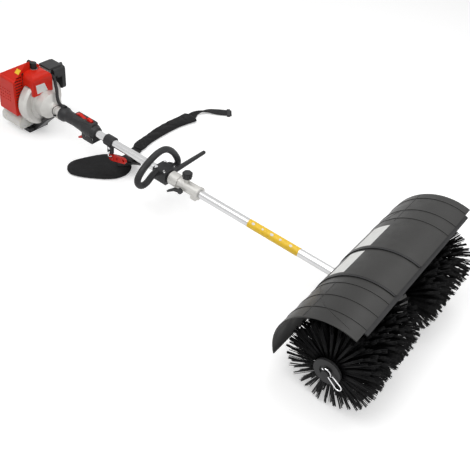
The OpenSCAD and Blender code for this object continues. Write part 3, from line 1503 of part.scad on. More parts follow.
module gearbox_case() color("#4a4a4a") difference() {
    union() {
        bar_y(case_y0 - case_wall, case_y1, case_r, brush_x, axis_h);
        bar_y(-hub_len, case_y0, hub_r, brush_x, axis_h);
        bar_x(neck_in_x, brush_x - case_r / 2, case_neck_r, 0, axis_h);
        bar_x(neck_in_x, neck_in_x + case_collar_len, case_collar_r, 0, axis_h);
    }
    bar_y(case_y0, case_y1 + over, cavity_r, brush_x, axis_h);
    bar_y(-hub_len - over, case_y0 + over, axle_r + run_fit, brush_x, axis_h);
    bar_x(neck_in_x - over, tube_stop_x, tube_seat, 0, axis_h);
    bar_x(tube_stop_x - over, brush_x, tube_in, 0, axis_h);
    for (k = [0 : cover_screws - 1])
        bar_y(case_y1 - cover_screw_in, case_y1 + over, cover_screw_r / 2,
            brush_x + cover_screw_at * cos(360 * k / cover_screws),
            axis_h + cover_screw_at * sin(360 * k / cover_screws));
}

module gearbox_cover() color("#4a4a4a") difference() {
    union() {
        bar_y(case_y1 + seat, case_y1 + case_wall, case_r, brush_x, axis_h);
        bar_y(case_y1 + seat, hub_len, hub_r, brush_x, axis_h);
        for (k = [0 : cover_screws - 1])
            bar_y(case_y1 + case_wall - over, case_y1 + case_wall + cover_screw_h, cover_screw_r,
                brush_x + cover_screw_at * cos(360 * k / cover_screws),
                axis_h + cover_screw_at * sin(360 * k / cover_screws));
    }
    bar_y(case_y1 - over, hub_len + over, axle_r + run_fit, brush_x, axis_h);
}

module bevel_gear() color("darkgray") difference() {
    translate([brush_x, 0, axis_h]) rotate([-90, 0, 0]) {
        rotate([0, 0, 180 + 180 / gear_teeth]) bevel_wheel(gear_cone, gear_teeth, gear_back / 2,
            gear_hub_r);
    }
    bar_y(-cone_len, cone_len, axle_r + seat, brush_x, axis_h);
}

module brush_axle() color("silver") difference() {
    bar_y(-axle_end, axle_end, axle_r, brush_x, axis_h);
    for (side = [-1, 1])
        translate([brush_x, side * pin_y, axis_h]) rotate([0, pin_turn, 0]) translate([-axle_d, 0, 0])
            rotate([0, 90, 0]) cylinder(r = pin_hole, h = 2 * axle_d);
}

// One brush half: a core with rings of radial bristle tufts, each leaning a little along the drum
module brush_half(side) difference() {
    union() {
        bar_y(side > 0 ? half_y0 : -half_y1, side > 0 ? half_y1 - seat : -half_y0, core_r, brush_x, axis_h);
        about_brush() for (i = [0 : tuft_rings - 1], k = [0 : tufts - 1]) {
            lean = tuft_lean * sin(tuft_turn * (i * tufts + k));
            reach_y = half_y0 + (i + tuft_start_share) * (half_y1 - half_y0) / tuft_rings;
            rotate([0, 0, 360 * (k + i % 2 / 2) / tufts - 90])
                translate([core_r - tuft_sink, 0, -side * reach_y]) rotate([0, 90 + lean, 0])
                    cylinder(r = tuft_r, h = brush_r - core_r + tuft_sink - tuft_r * sin(tuft_lean),
                        $fn = 3);
        }
    }
    bar_y(-drum_len, drum_len, axle_r + seat, brush_x, axis_h);
}

module brush_left() color("#161616") brush_half(1);

module brush_right() color("#161616") brush_half(-1);

module end_discs() color("#3c3c3c") for (side = [-1, 1]) difference() {
    y0 = side > 0 ? half_y1 : -half_y1 - disc_t;
    bar_y(y0, y0 + disc_t, disc_d / 2, brush_x, axis_h);
    bar_y(side > 0 ? y0 + disc_t - disc_recess : y0 - over,
        side > 0 ? y0 + disc_t + over : y0 + disc_recess, disc_recess_r, brush_x, axis_h);
    bar_y(-drum_len, drum_len, axle_r + seat, brush_x, axis_h);
}

// Hitch pins: a straight leg through the axle, a bow, and a spring leg that hugs the axle's outside
module hitch_pins() color("silver") for (side = [-1, 1])
    translate([brush_x, side * pin_y, axis_h]) rotate([0, pin_turn, 0]) {
        line = concat(
            [for (k = [0 : pin_steps]) [-axle_r - pin_lead + k * (pin_bow_x + axle_r
                + pin_lead) / pin_steps, 0, 0]],
            [for (a = [-60 : 30 : 90]) [pin_bow_x + pin_loop * cos(a), 0, pin_loop + pin_loop * sin(a)]],
            [for (k = [1 : pin_steps - 2])
                [pin_bow_x - k * (pin_bow_x - axle_r - pin_hug) / (pin_steps - 2), 0, 2 * pin_loop - k]],
            [for (a = [30 : 30 : 150])
                [(axle_r + pin_hug + pin_wire) * cos(a), 0, (axle_r + pin_hug) * sin(a) + pin_wire]]);
        skin([for (i = [0 : len(line) - 1]) tube_ring(line, i, pin_wire, pin_sides, [0, 1, 0])]);
    }

// Guard panels: the left one laps over the centre one, which laps over the right one
module guard_panel(y0, y1, layer, shares) about_brush() rotate([0, 0, guard_front_angle])
    rotate_extrude(angle = guard_rear_angle - guard_front_angle)
        translate([guard_in + layer * guard_step, 0]) {
            translate([0, -y1]) square([guard_wall, y1 - y0]);
            for (share = shares)
                translate([guard_wall / 2, -y0 - (y1 - y0) * share - rib_w / 2])
                    square([guard_wall / 2 + rib_h, rib_w]);
        }

// Bolts from inside the guard, whose shanks end within the centre panel
module guard_bolt_group(extra, head) about_brush() for (a = guard_bolt_angles, y = [-guard_bolt_y,
    guard_bolt_y])
    rotate([0, 0, a]) translate([guard_bolt_start, 0, y]) rotate([0, 90, 0]) {
        cylinder(r = guard_bolt_r + extra, h = guard_bolt_end - guard_bolt_start + extra);
        if (head > 0)
            cylinder(r = guard_bolt_head, h = head);
    }

module guard_left() color("#333333") guard_panel(seam_left, guard_left, 2, left_rib_shares);

module guard_centre() color("#333333") difference() {
    guard_panel(-seam_right, seam_left + guard_lap, 1, []);
    bar_x(brush_x - guard_in - 4 * guard_wall, brush_x - guard_in / 2, tube_hole, 0, axis_h);
    guard_bolt_group(seat, 0);
}

module guard_right() color("#333333") {
    guard_panel(-guard_right, -seam_right + guard_lap, 0, right_rib_shares);
}

// Frame that carries the guard: a saddle on the gearbox, two side plates, a curved pad and the front rail
module guard_frame() color("#3a3a3a") difference() {
    about_brush() {
        rotate([0, 0, frame_front_angle]) rotate_extrude(angle = frame_rear_angle - frame_front_angle) {
            translate([case_r + seat, -saddle_w / 2]) square([frame_t, saddle_w]);
            for (z = [-saddle_w / 2, saddle_w / 2 - frame_t])
                translate([case_r + seat, z]) square([guard_in + guard_step - case_r - frame_t, frame_t]);
            translate([guard_in + guard_step - frame_t - seat, -frame_w / 2]) square([frame_t, frame_w]);
        }
        rotate([0, 0, guard_front_angle - rail_out_angle])
            rotate_extrude(angle = rail_out_angle + rail_lap_angle)
            translate([guard_in - rail_t, -rail_left]) square([rail_t - seat, rail_left + rail_right]);
    }
    guard_bolt_group(seat, 0);
}

module guard_bolts() color("silver") guard_bolt_group(0, guard_bolt_head_t);

fan_housing();
clutch_housing();
clutch_drum();
cylinder_node();  // cylinder
spark_plug();
spark_plug_boot();
muffler();
engine_cover();
muffler_cover();
starter_cover();
starter_handle();
fuel_tank();
fuel_cap();
engine_stand();
carburettor();
primer_bulb();
choke_lever();
filter_base();
filter_element();
filter_cover();
filter_knob();
throttle_conduit();
upper_tube();
lower_tube();
upper_drive_shaft();
lower_drive_shaft();
tube_bushes();
lower_bushes();
coupler_body();
coupler_knob();
coupler_latch();
grip_left();
grip_right();
throttle_trigger();
throttle_lock();
stop_switch();
fasteners();
hanger_clamp();
hanger_ring();
harness_hook();
hip_pad();
webbing();
shoulder_pad();
strap_buckle();
loop_handle();
handle_cap();
barrier_bar();
gearbox_case();
gearbox_cover();
bevel_gear();
brush_axle();
brush_left();
brush_right();
end_discs();
hitch_pins();
guard_left();
guard_centre();
guard_right();
guard_frame();
guard_bolts();
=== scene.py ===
"""Looks of the power brush sweeper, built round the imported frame. All sizes are in metres."""

import itertools
import json
import math
import random

import bpy
import numpy as np
from mathutils import Matrix, Vector
from mathutils.bvhtree import BVHTree


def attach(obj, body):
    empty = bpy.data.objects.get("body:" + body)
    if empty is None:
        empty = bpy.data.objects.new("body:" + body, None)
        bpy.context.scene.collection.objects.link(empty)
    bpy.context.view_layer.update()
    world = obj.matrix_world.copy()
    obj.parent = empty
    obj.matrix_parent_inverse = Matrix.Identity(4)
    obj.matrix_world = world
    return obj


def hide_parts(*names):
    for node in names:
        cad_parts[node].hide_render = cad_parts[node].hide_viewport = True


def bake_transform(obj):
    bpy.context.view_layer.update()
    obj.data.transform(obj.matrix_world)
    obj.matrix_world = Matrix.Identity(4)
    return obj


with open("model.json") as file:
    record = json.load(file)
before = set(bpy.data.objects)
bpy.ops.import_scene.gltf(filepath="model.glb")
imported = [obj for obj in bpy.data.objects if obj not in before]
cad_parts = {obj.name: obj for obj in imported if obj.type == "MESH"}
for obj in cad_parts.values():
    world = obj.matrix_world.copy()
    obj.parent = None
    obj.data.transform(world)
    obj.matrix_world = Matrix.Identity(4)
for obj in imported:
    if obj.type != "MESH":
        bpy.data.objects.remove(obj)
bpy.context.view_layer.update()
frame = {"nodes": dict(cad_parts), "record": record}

# Main lines of the object
UP = Vector((0, 0, 1))
ALONG_AXLE = Vector((0, 1, 0))
BRUSH_X = 1.408
AXIS_Z = 0.128
BRUSH_R = 0.128
CORE_R = 0.026
AXLE_R = 0.01
TUBE_R = 0.013
GUARD_IN = 0.154
GUARD_WALL = 0.003
GUARD_STEP = 0.00305
GUARD_TOP = GUARD_IN + GUARD_WALL

# The camera that took the photograph, relative to where the tube axis meets the brush axis
CAM_AZIMUTH = math.radians(-57.95427)
CAM_ELEVATION = math.radians(41.55164)
CAM_ROLL = math.radians(-8.68491)
CAM_SHIFT = (0.399354, 0.182013, 1.781887)
CAM_NEAR = 0.05
CAM_FAR = 50
FOCAL_PIXELS = 672.667
PHOTO_PIXELS = 470
SENSOR = 36.0


def make_camera():
    """Places the camera from its angles and its offset to the brush's middle."""
    back = Vector((
        math.cos(CAM_AZIMUTH) * math.cos(CAM_ELEVATION),
        math.sin(CAM_AZIMUTH) * math.cos(CAM_ELEVATION),
        math.sin(CAM_ELEVATION),
    ))
    forward = -back
    right = forward.cross(UP).normalized()
    down = forward.cross(right)
    c = math.cos(CAM_ROLL)
    s = math.sin(CAM_ROLL)
    cam_right = c * right + s * down
    cam_down = -s * right + c * down
    place = -(cam_right * CAM_SHIFT[0] + cam_down * CAM_SHIFT[1] + forward * CAM_SHIFT[2])
    place += Vector((BRUSH_X, 0, AXIS_Z))
    data = bpy.data.cameras.new("photo_camera")
    data.sensor_width = SENSOR
    data.lens = FOCAL_PIXELS / PHOTO_PIXELS * SENSOR
    data.clip_start = CAM_NEAR
    data.clip_end = CAM_FAR
    cam = bpy.data.objects.new("photo_camera", data)
    turn = Matrix((cam_right, -cam_down, back)).transposed()
    cam.matrix_world = Matrix.Translation(place) @ turn.to_4x4()
    bpy.context.scene.collection.objects.link(cam)
    bpy.context.scene.camera = cam


make_camera()


# Materials

# The part of a noise's range that a number follows
NOISE_SPAN = (0.25, 0.75)
TINT_DETAIL = 4.0
GLOSS_DETAIL = 5.0
GRAIN_DETAIL = 2.0
# Patches of gloss are this much finer than patches of tint
GLOSS_FINER = 5
ROUGH_VARY = 0.08
COAT_ROUGH = 0.08

# A wave texture repeats every tau / (WAVE_RATE * scale)
WAVE_RATE = 20
THREAD_WANDER = 0.6
THREAD_SHARE = 0.55
THREAD_DARK = 0.6
THREAD_LIGHT = 1.7
THREAD_RAMP = (0.3, 1.0)
THREAD_RELIEF = 0.5
FUZZ_SCALE = 60
CLOTH_SPECULAR = 0.15
SHEEN = 0.04
SHEEN_ROUGH = 0.5

MILKY = dict(rough=0.32, vary=0.05, grain=500.0, relief=0.12)
MILKY_SCATTER = 0.4
MILKY_DEPTH = (0.006, 0.006, 0.005)
MILKY_CLEAR = 0.12


def new_material(name):
    """An empty node material with its shader and its object coordinates."""
    mat = bpy.data.materials.new(name)
    mat.use_nodes = True
    nodes = mat.node_tree.nodes
    shader = nodes["Principled BSDF"]
    coords = nodes.new("ShaderNodeTexCoord")
    return mat, shader, coords.outputs["Object"]


def add_noise(mat, coords, scale, detail, stretch=None):
    """A noise texture in metres, stretched where asked."""
    nodes = mat.node_tree.nodes
    links = mat.node_tree.links
    if stretch:
        mapping = nodes.new("ShaderNodeMapping")
        mapping.inputs["Scale"].default_value = stretch
        links.new(coords, mapping.inputs["Vector"])
        coords = mapping.outputs["Vector"]
    noise = nodes.new("ShaderNodeTexNoise")
    noise.inputs["Scale"].default_value = scale
    noise.inputs["Detail"].default_value = detail
    links.new(coords, noise.inputs["Vector"])
    return noise.outputs["Fac"]


def add_ramp(mat, factor, low, high, start=0.3, end=0.7):
    """A colour that runs from low to high with a factor."""
    ramp = mat.node_tree.nodes.new("ShaderNodeValToRGB")
    ramp.color_ramp.elements[0].position = start
    ramp.color_ramp.elements[0].color = (*low, 1)
    ramp.color_ramp.elements[1].position = end
    ramp.color_ramp.elements[1].color = (*high, 1)
    mat.node_tree.links.new(factor, ramp.inputs["Fac"])
    return ramp.outputs["Color"]


def add_range(mat, factor, low, high):
    """A number that runs from low to high with a factor."""
    span = mat.node_tree.nodes.new("ShaderNodeMapRange")
    span.inputs["From Min"].default_value = NOISE_SPAN[0]
    span.inputs["From Max"].default_value = NOISE_SPAN[1]
    span.inputs["To Min"].default_value = low
    span.inputs["To Max"].default_value = high
    mat.node_tree.links.new(factor, span.inputs["Value"])
    return span.outputs["Result"]


def add_bump(mat, shader, height, strength, distance):
    """Relief of the given depth in metres."""
    bump = mat.node_tree.nodes.new("ShaderNodeBump")
    bump.inputs["Strength"].default_value = strength
    bump.inputs["Distance"].default_value = distance
    mat.node_tree.links.new(height, bump.inputs["Height"])
    mat.node_tree.links.new(bump.outputs["Normal"], shader.inputs["Normal"])


def surface(name, colour, rough, metal=0.0, vary=0.12, patch=14.0, grain=900.0, relief=0.25,
            depth=0.0003, rough_vary=ROUGH_VARY, stretch=None, coat=0.0, specular=0.5):
    """A solid surface with patches of tint, uneven gloss and a fine grain."""
    mat, shader, coords = new_material(name)
    links = mat.node_tree.links
    low = [c * (1 - vary) for c in colour]
    high = [min(1.0, c * (1 + vary)) for c in colour]
    tint = add_noise(mat, coords, patch, TINT_DETAIL)
    links.new(add_ramp(mat, tint, low, high), shader.inputs["Base Color"])
    gloss = add_noise(mat, coords, patch * GLOSS_FINER, GLOSS_DETAIL, stretch)
    links.new(add_range(mat, gloss, rough - rough_vary, rough + rough_vary), shader.inputs["Roughness"])
    shader.inputs["Metallic"].default_value = metal
    shader.inputs["Coat Weight"].default_value = coat
    shader.inputs["Coat Roughness"].default_value = COAT_ROUGH
    shader.inputs["Specular IOR Level"].default_value = specular
    add_bump(mat, shader, add_noise(mat, coords, grain, GRAIN_DETAIL, stretch), relief, depth)
    return mat


def woven(name, colour, thread, rough, depth):
    """Cloth: two crossing sets of threads with a soft sheen."""
    mat, shader, coords = new_material(name)
    nodes = mat.node_tree.nodes
    links = mat.node_tree.links
    waves = []
    for direction in ("X", "Y"):
        wave = nodes.new("ShaderNodeTexWave")
        wave.bands_direction = direction
        wave.inputs["Scale"].default_value = math.tau / (WAVE_RATE * thread)
        wave.inputs["Distortion"].default_value = THREAD_WANDER
        links.new(coords, wave.inputs["Vector"])
        waves.append(wave.outputs["Fac"])
    cross = nodes.new("ShaderNodeMath")
    cross.operation = "MULTIPLY"
    links.new(waves[0], cross.inputs[0])
    links.new(waves[1], cross.inputs[1])
    fuzz = add_noise(mat, coords, FUZZ_SCALE, GLOSS_DETAIL)
    mixed = nodes.new("ShaderNodeMath")
    mixed.operation = "MULTIPLY_ADD"
    mixed.inputs[1].default_value = THREAD_SHARE
    links.new(cross.outputs[0], mixed.inputs[0])
    links.new(fuzz, mixed.inputs[2])
    low = [c * THREAD_DARK for c in colour]
    high = [c * THREAD_LIGHT for c in colour]
    links.new(add_ramp(mat, mixed.outputs[0], low, high, *THREAD_RAMP), shader.inputs["Base Color"])
    links.new(add_range(mat, fuzz, rough - ROUGH_VARY, rough + ROUGH_VARY), shader.inputs["Roughness"])
    shader.inputs["Specular IOR Level"].default_value = CLOTH_SPECULAR
    shader.inputs["Sheen Weight"].default_value = SHEEN
    shader.inputs["Sheen Roughness"].default_value = SHEEN_ROUGH
    add_bump(mat, shader, mixed.outputs[0], THREAD_RELIEF, depth)
    return mat


def translucent(name, colour):
    """Milky plastic that lets some light through."""
    mat = surface(name, colour, **MILKY)
    shader = mat.node_tree.nodes["Principled BSDF"]
    shader.inputs["Subsurface Weight"].default_value = MILKY_SCATTER
    shader.inputs["Subsurface Radius"].default_value = MILKY_DEPTH
    shader.inputs["Subsurface Scale"].default_value = 1.0
    shader.inputs["Transmission Weight"].default_value = MILKY_CLEAR
    return mat


SURFACES = {
    "cast_alloy": dict(colour=(0.60, 0.59, 0.565), rough=0.46, metal=0.5, grain=420.0, relief=0.35,
                       depth=0.0005),
    "dark_steel": dict(colour=(0.42, 0.43, 0.45), rough=0.3, metal=1.0, grain=700.0, stretch=(30, 1, 1)),
    "plug_ceramic": dict(colour=(0.85, 0.85, 0.82), rough=0.2, vary=0.03, coat=0.4),
    "boot_rubber": dict(colour=(0.016, 0.016, 0.017), rough=0.6, vary=0.2, specular=0.25),
    "muffler_steel": dict(colour=(0.22, 0.20, 0.19), rough=0.5, metal=0.8, vary=0.3, patch=40.0),
    "red_cover": dict(colour=(0.63, 0.020, 0.008), rough=0.34, vary=0.07, grain=260.0, relief=0.1,
                      specular=0.2),
    "black_plastic": dict(colour=(0.019, 0.019, 0.0203), rough=0.44, vary=0.2, grain=1300.0, relief=0.35,
                          specular=0.3),
    "stand_metal": dict(colour=(0.017, 0.017, 0.018), rough=0.4, vary=0.2, grain=600.0, relief=0.2,
                        specular=0.3),
    "filter_foam": dict(colour=(0.09, 0.09, 0.07), rough=0.9, vary=0.3, grain=500.0, relief=0.8),
    "conduit_plastic": dict(colour=(0.014, 0.014, 0.015), rough=0.42, vary=0.2, specular=0.25),
    "bright_tube": dict(colour=(0.60, 0.60, 0.605), rough=0.22, metal=1.0, vary=0.03, relief=0.02,
                        rough_vary=0.04, stretch=(1, 24, 24)),
    "bush_nylon": dict(colour=(0.5, 0.5, 0.46), rough=0.5),
    "red_control": dict(colour=(0.58, 0.016, 0.008), rough=0.34, vary=0.1, specular=0.25),
    "bright_steel": dict(colour=(0.74, 0.74, 0.75), rough=0.16, metal=1.0, vary=0.06, grain=600.0,
                         relief=0.08),
    "handle_rubber": dict(colour=(0.019, 0.019, 0.0205), rough=0.5, vary=0.2, grain=1100.0, relief=0.4,
                          specular=0.3),
    "gearbox_paint": dict(colour=(0.15, 0.15, 0.147), rough=0.42, metal=0.3, vary=0.15, grain=420.0,
                          relief=0.3),
    "bristle_nylon": dict(colour=(0.006, 0.006, 0.0065), rough=0.5, vary=0.4, patch=220.0, specular=0.16),
    "disc_plastic": dict(colour=(0.022, 0.022, 0.023), rough=0.45, vary=0.15, specular=0.3),
    "guard_plastic": dict(colour=(0.0205, 0.0200, 0.0190), rough=0.42, patch=6.0, grain=1500.0, relief=0.3,
                          specular=0.36),
    "frame_paint": dict(colour=(0.016, 0.016, 0.017), rough=0.45, vary=0.15, specular=0.3),
    "sticker_white": dict(colour=(0.74, 0.74, 0.72), rough=0.45, vary=0.04, patch=60.0, relief=0.1),
    "sticker_yellow": dict(colour=(0.86, 0.55, 0.02), rough=0.4, vary=0.06, patch=60.0, relief=0.1),
}
CLOTHS = {
    "pad_fabric": dict(colour=(0.0135, 0.0135, 0.0142), thread=0.0016, rough=0.8, depth=0.0005),
    "webbing_nylon": dict(colour=(0.0135, 0.0135, 0.0142), thread=0.0022, rough=0.62, depth=0.0006),
}
MILKY_PLASTICS = {
    "tank_plastic": dict(colour=(0.80, 0.80, 0.76)),
}

looks = {}
for make_look, rows in ((surface, SURFACES), (woven, CLOTHS), (translucent, MILKY_PLASTICS)):
    for look_name, row in rows.items():
        looks[look_name] = make_look(look_name, **row)

# Nodes whose finish differs from their slot's
NODE_LOOKS = {"brush_axle": "frame_paint"}


def dress_nodes():
    """Gives each CAD node its slot's material, or its own."""
    for part in frame["record"]["subparts"]:
        obj = frame["nodes"][part["node"]]
        obj.data.materials.clear()
        obj.data.materials.append(looks[NODE_LOOKS.get(part["node"], part["material_slot"])])


dress_nodes()


# Helpers for meshes

# A last step shorter than this share of the pitch is joined to the one before it
SHORT_STEP = 0.3


def add_mesh(name, verts, faces, look, smooth=True):
    """A mesh object with one material, linked to the scene."""
    mesh = bpy.data.meshes.new(name)
    mesh.from_pydata([tuple(v) for v in verts], [], faces)
    mesh.validate()
    mesh.update()
    if smooth:
        for poly in mesh.polygons:
            poly.use_smooth = True
    mesh.materials.append(looks[look])
    obj = bpy.data.objects.new(name, mesh)
    bpy.context.scene.collection.objects.link(obj)
    return obj


def skin(rings, closed_ends=True):
    """Points and faces over equal rings of points, with flat ends where asked."""
    n = len(rings[0])
    verts = [p for ring in rings for p in ring]
    faces = []
    for i in range(len(rings) - 1):
        for k in range(n):
            a = i * n + k
            b = i * n + (k + 1) % n
            faces.append((a, b, b + n, a + n))
    if closed_ends:
        faces.append(tuple(range(n - 1, -1, -1)))
        last = (len(rings) - 1) * n
        faces.append(tuple(range(last, last + n)))
    return verts, faces


def joined(skins):
    """The points and faces of several skins as one."""
    verts = []
    faces = []
    for skin_verts, skin_faces in skins:
        start = len(verts)
        verts.extend(skin_verts)
        faces.extend(tuple(k + start for k in face) for face in skin_faces)
    return verts, faces


def full_turn(count):
    """Angles spread evenly over a full turn."""
    return [math.tau * k / count for k in range(count)]


def spline(points, steps):
    """A smooth line through given points."""
    points = [Vector(p) for p in points]
    line = []
    for i in range(len(points) - 1):
        a = points[max(i - 1, 0)]
        b = points[i]
        c = points[i + 1]
        d = points[min(i + 2, len(points) - 1)]
        for s in range(steps):
            t = s / steps
            line.append(0.5 * (2 * b + (c - a) * t + (2 * a - 5 * b + 4 * c - d) * t ** 2
                               + (3 * b - a - 3 * c + d) * t ** 3))
    line.append(points[-1])
    return line


def even_line(line, pitch):
    """Points at an even pitch along a line."""
    out = [line[0]]
    left = pitch
    for a, b in zip(line, line[1:]):
        step = (b - a).length
        at = 0.0
        while step - at >= left:
            at += left
            out.append(a.lerp(b, at / step))
            left = pitch
        left -= step - at
    if (out[-1] - line[-1]).length > pitch * SHORT_STEP:
        out.append(line[-1])
    else:
        out[-1] = line[-1]
    return out


def heading(line, i):
    """The direction of a line at one of its points."""
    return (line[min(i + 1, len(line) - 1)] - line[max(i - 1, 0)]).normalized()


def tube_rings(line, radii, sides):
    """Rings round a line that keep their turn from point to point."""
    rings = []
    side = heading(line, 0).cross(UP).normalized()
    for i, p in enumerate(line):
        t = heading(line, i)
        side = (side - t * side.dot(t)).normalized()
        rise = t.cross(side)
        rings.append([p + radii[i] * (math.cos(a) * side + math.sin(a) * rise) for a in full_turn(sides)])
    return rings


# Bristle drum: each half is a row of discs, whose tufts of thin strands fan out towards their tips

HALF_INNER = 0.042
HALF_OUTER = 0.29295
CORE_SIDES = 48
CORE_EDGE = 0.001
AXLE_GAP = 0.0001
DISCS = 6
DISC_PITCH = (HALF_OUTER - HALF_INNER) / DISCS
DISC_ROWS = (-1, 0, 1)
ROW_FOOT = 0.0125
ROW_TIP = 0.0165
ROW_DROP = 0.006
ROW_DROP_LEAST = 0.5
TUFTS = 34
# How far a disc and its outer rows are turned, as shares of the step between tufts
DISC_TURN = 0.37
ROW_TURN = 0.5
TUFT_JITTER = 0.03
TUFT_FOOT = 0.0020
TUFT_SPREAD = 0.0046
TUFT_WAVE = 0.0007
TUFT_TRIM = 0.003
LEAN_ALONG = 0.0045
LEAN_AROUND = 0.0050
STRANDS = 10
STRAND_R = 0.0010
STRAND_SIDES = 3
STRAND_PLACES = (0.0, 0.35, 0.7, 1.0)
STRAND_FOOT_SHARE = 1.25
STRAND_TAPER_SHARE = 0.45
STRAND_TRIM = 0.003
# A direction that no strand follows, to set its sides by
STRAND_ASIDE = Vector((0.3, 1, 0.2))
TIP_MARGIN = 0.0012
# How far out the tips reach: the left end is trimmed shorter
LEFT_TIP_END = 0.280
RIGHT_TIP_OVER = 0.002
TIP_END = {1: LEFT_TIP_END, -1: HALF_OUTER + RIGHT_TIP_OVER}


def drum_core(side):
    """The hollow core of one half, from its inner to its outer end."""
    profile = [
        (AXLE_R + AXLE_GAP, HALF_INNER), (CORE_R - CORE_EDGE, HALF_INNER), (CORE_R, HALF_INNER + CORE_EDGE),
        (CORE_R, HALF_OUTER - CORE_EDGE), (CORE_R - CORE_EDGE, HALF_OUTER), (AXLE_R + AXLE_GAP, HALF_OUTER),
    ]
    rings = []
    for a in full_turn(CORE_SIDES):
        rings.append([Vector((BRUSH_X + r * math.cos(a), side * y, AXIS_Z + r * math.sin(a)))
                      for r, y in profile])
    return skin(rings + [rings[0]], False)


def strand_rings(foot, tip, bend):
    """A thin three-sided strand that bends a little on its way from foot to tip."""
    axis = (tip - foot).normalized()
    side = axis.cross(STRAND_ASIDE).normalized()
    rise = axis.cross(side)
    rings = []
    for s in STRAND_PLACES:
        mid = foot.lerp(tip, s) + bend * math.sin(math.pi * s)
        r = STRAND_R * (STRAND_FOOT_SHARE - STRAND_TAPER_SHARE * s)
        rings.append([mid + r * (math.cos(a) * side + math.sin(a) * rise) for a in full_turn(STRAND_SIDES)])
    return rings


def tuft_skins(side, disc, row, number, draw):
    """The strands of one tuft: they lean together and spread towards their tips."""
    turn = number + ROW_TURN * (row != 0) + DISC_TURN * disc
    a = math.tau * turn / TUFTS + draw.uniform(-TUFT_JITTER, TUFT_JITTER)
    out = Vector((math.cos(a), 0, math.sin(a)))
    around = Vector((-math.sin(a), 0, math.cos(a)))
    base = Vector((BRUSH_X, side * (HALF_INNER + (disc + 0.5) * DISC_PITCH), AXIS_Z))
    lean_y = row * ROW_TIP + draw.uniform(-1, 1) * LEAN_ALONG
    lean_a = draw.uniform(-1, 1) * LEAN_AROUND
    drop = ROW_DROP * abs(row) * draw.uniform(ROW_DROP_LEAST, 1)
    length = BRUSH_R - TIP_MARGIN - drop - draw.uniform(0, TUFT_TRIM)
    skins = []
    for _ in range(STRANDS):
        spin = draw.uniform(0, math.tau)
        spread = math.sqrt(draw.uniform(0, 1))
        off = spread * (math.cos(spin) * around + math.sin(spin) * ALONG_AXLE)
        foot = base + out * (CORE_R - CORE_EDGE) + off * TUFT_FOOT + ALONG_AXLE * row * ROW_FOOT
        level = off * TUFT_SPREAD + around * lean_a + ALONG_AXLE * lean_y
        reach = length - draw.uniform(0, STRAND_TRIM)
        radial = math.sqrt(reach ** 2 - level.dot(around) ** 2)
        tip = base + out * radial + level
        tip.y = side * min(side * tip.y, TIP_END[side])
        bend = TUFT_WAVE * (draw.uniform(-1, 1) * around + draw.uniform(-1, 1) * ALONG_AXLE)
        skins.append(skin(strand_rings(foot, tip, bend)))
    return skins


def make_brush(name, side, node, seed):
    """One half of the drum: its core and all its strands, in one mesh."""
    draw = random.Random(seed)
    skins = [drum_core(side)]
    for disc, row, number in itertools.product(range(DISCS), DISC_ROWS, range(TUFTS)):
        skins.extend(tuft_skins(side, disc, row, number, draw))
    obj = add_mesh(name, *joined(skins), "bristle_nylon")
    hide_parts(node)
    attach(obj, "brush")


make_brush("bristles_left", side=1, node="brush_left", seed=11)
make_brush("bristles_right", side=-1, node="brush_right", seed=23)


# Throttle conduit: a ribbed hose from the carburettor to the grip's collar

CONDUIT_LEAD = 0.01
CONDUIT_R = 0.005
CONDUIT_RIB = 0.001
CONDUIT_RIB_RINGS = 4
CONDUIT_SIDES = 16
CONDUIT_STEPS = 8
CONDUIT_PITCH = 0.0009
CONDUIT_ROUTE = [
    (0.058, 0.046, 0.210), (0.068, 0.045, 0.203), (0.075, 0.042, 0.194), (0.082, 0.038, 0.187),
    (0.092, 0.032, 0.182), (0.102, 0.025, 0.177), (0.113, 0.016, 0.167), (0.126, 0.008, 0.158),
    (0.140, 0.003, 0.153), (0.154, 0.002, 0.153),
]


def make_conduit():
    """The hose with its ribs, from one fitting to the other."""
    route = [Vector(p) for p in CONDUIT_ROUTE]
    start = route[0] - Vector((CONDUIT_LEAD, 0, 0))
    end = route[-1] + Vector((CONDUIT_LEAD, 0, 0))
    line = even_line([start] + spline(route, CONDUIT_STEPS) + [end], CONDUIT_PITCH)
    radii = []
    for i in range(len(line)):
        radii.append(CONDUIT_R + CONDUIT_RIB * (0.5 - 0.5 * math.cos(math.tau * i / CONDUIT_RIB_RINGS)))
    obj = add_mesh("throttle_hose", *skin(tube_rings(line, radii, CONDUIT_SIDES)), "conduit_plastic")
    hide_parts("throttle_conduit")
    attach(obj, "machine")


make_conduit()


# Soft goods: closed forms swollen by cloth pressure, then their seams

CLOTH_PRESSURE = 4.0
CLOTH_QUALITY = 6
CLOTH_FRAMES = 20
LEAST_MOVE = 1e-9
FLOOR_GAP = 0.0003
SEAM_SIDES = 8
SEAM_FLAT = 0.72
SEAM_PASSES = 3
SEAM_LUMP = 0.12
SEAM_BEAT = 2.1


def settle(obj):
    """Keeps an object's evaluated mesh and drops its modifiers."""
    graph = bpy.context.evaluated_depsgraph_get()
    mesh = bpy.data.meshes.new_from_object(obj.evaluated_get(graph))
    obj.modifiers.clear()
    obj.data = mesh


def points_of(mesh):
    """The mesh's points as rows of numbers."""
    flat = np.empty(len(mesh.vertices) * 3)
    mesh.vertices.foreach_get("co", flat)
    return flat.reshape(-1, 3)


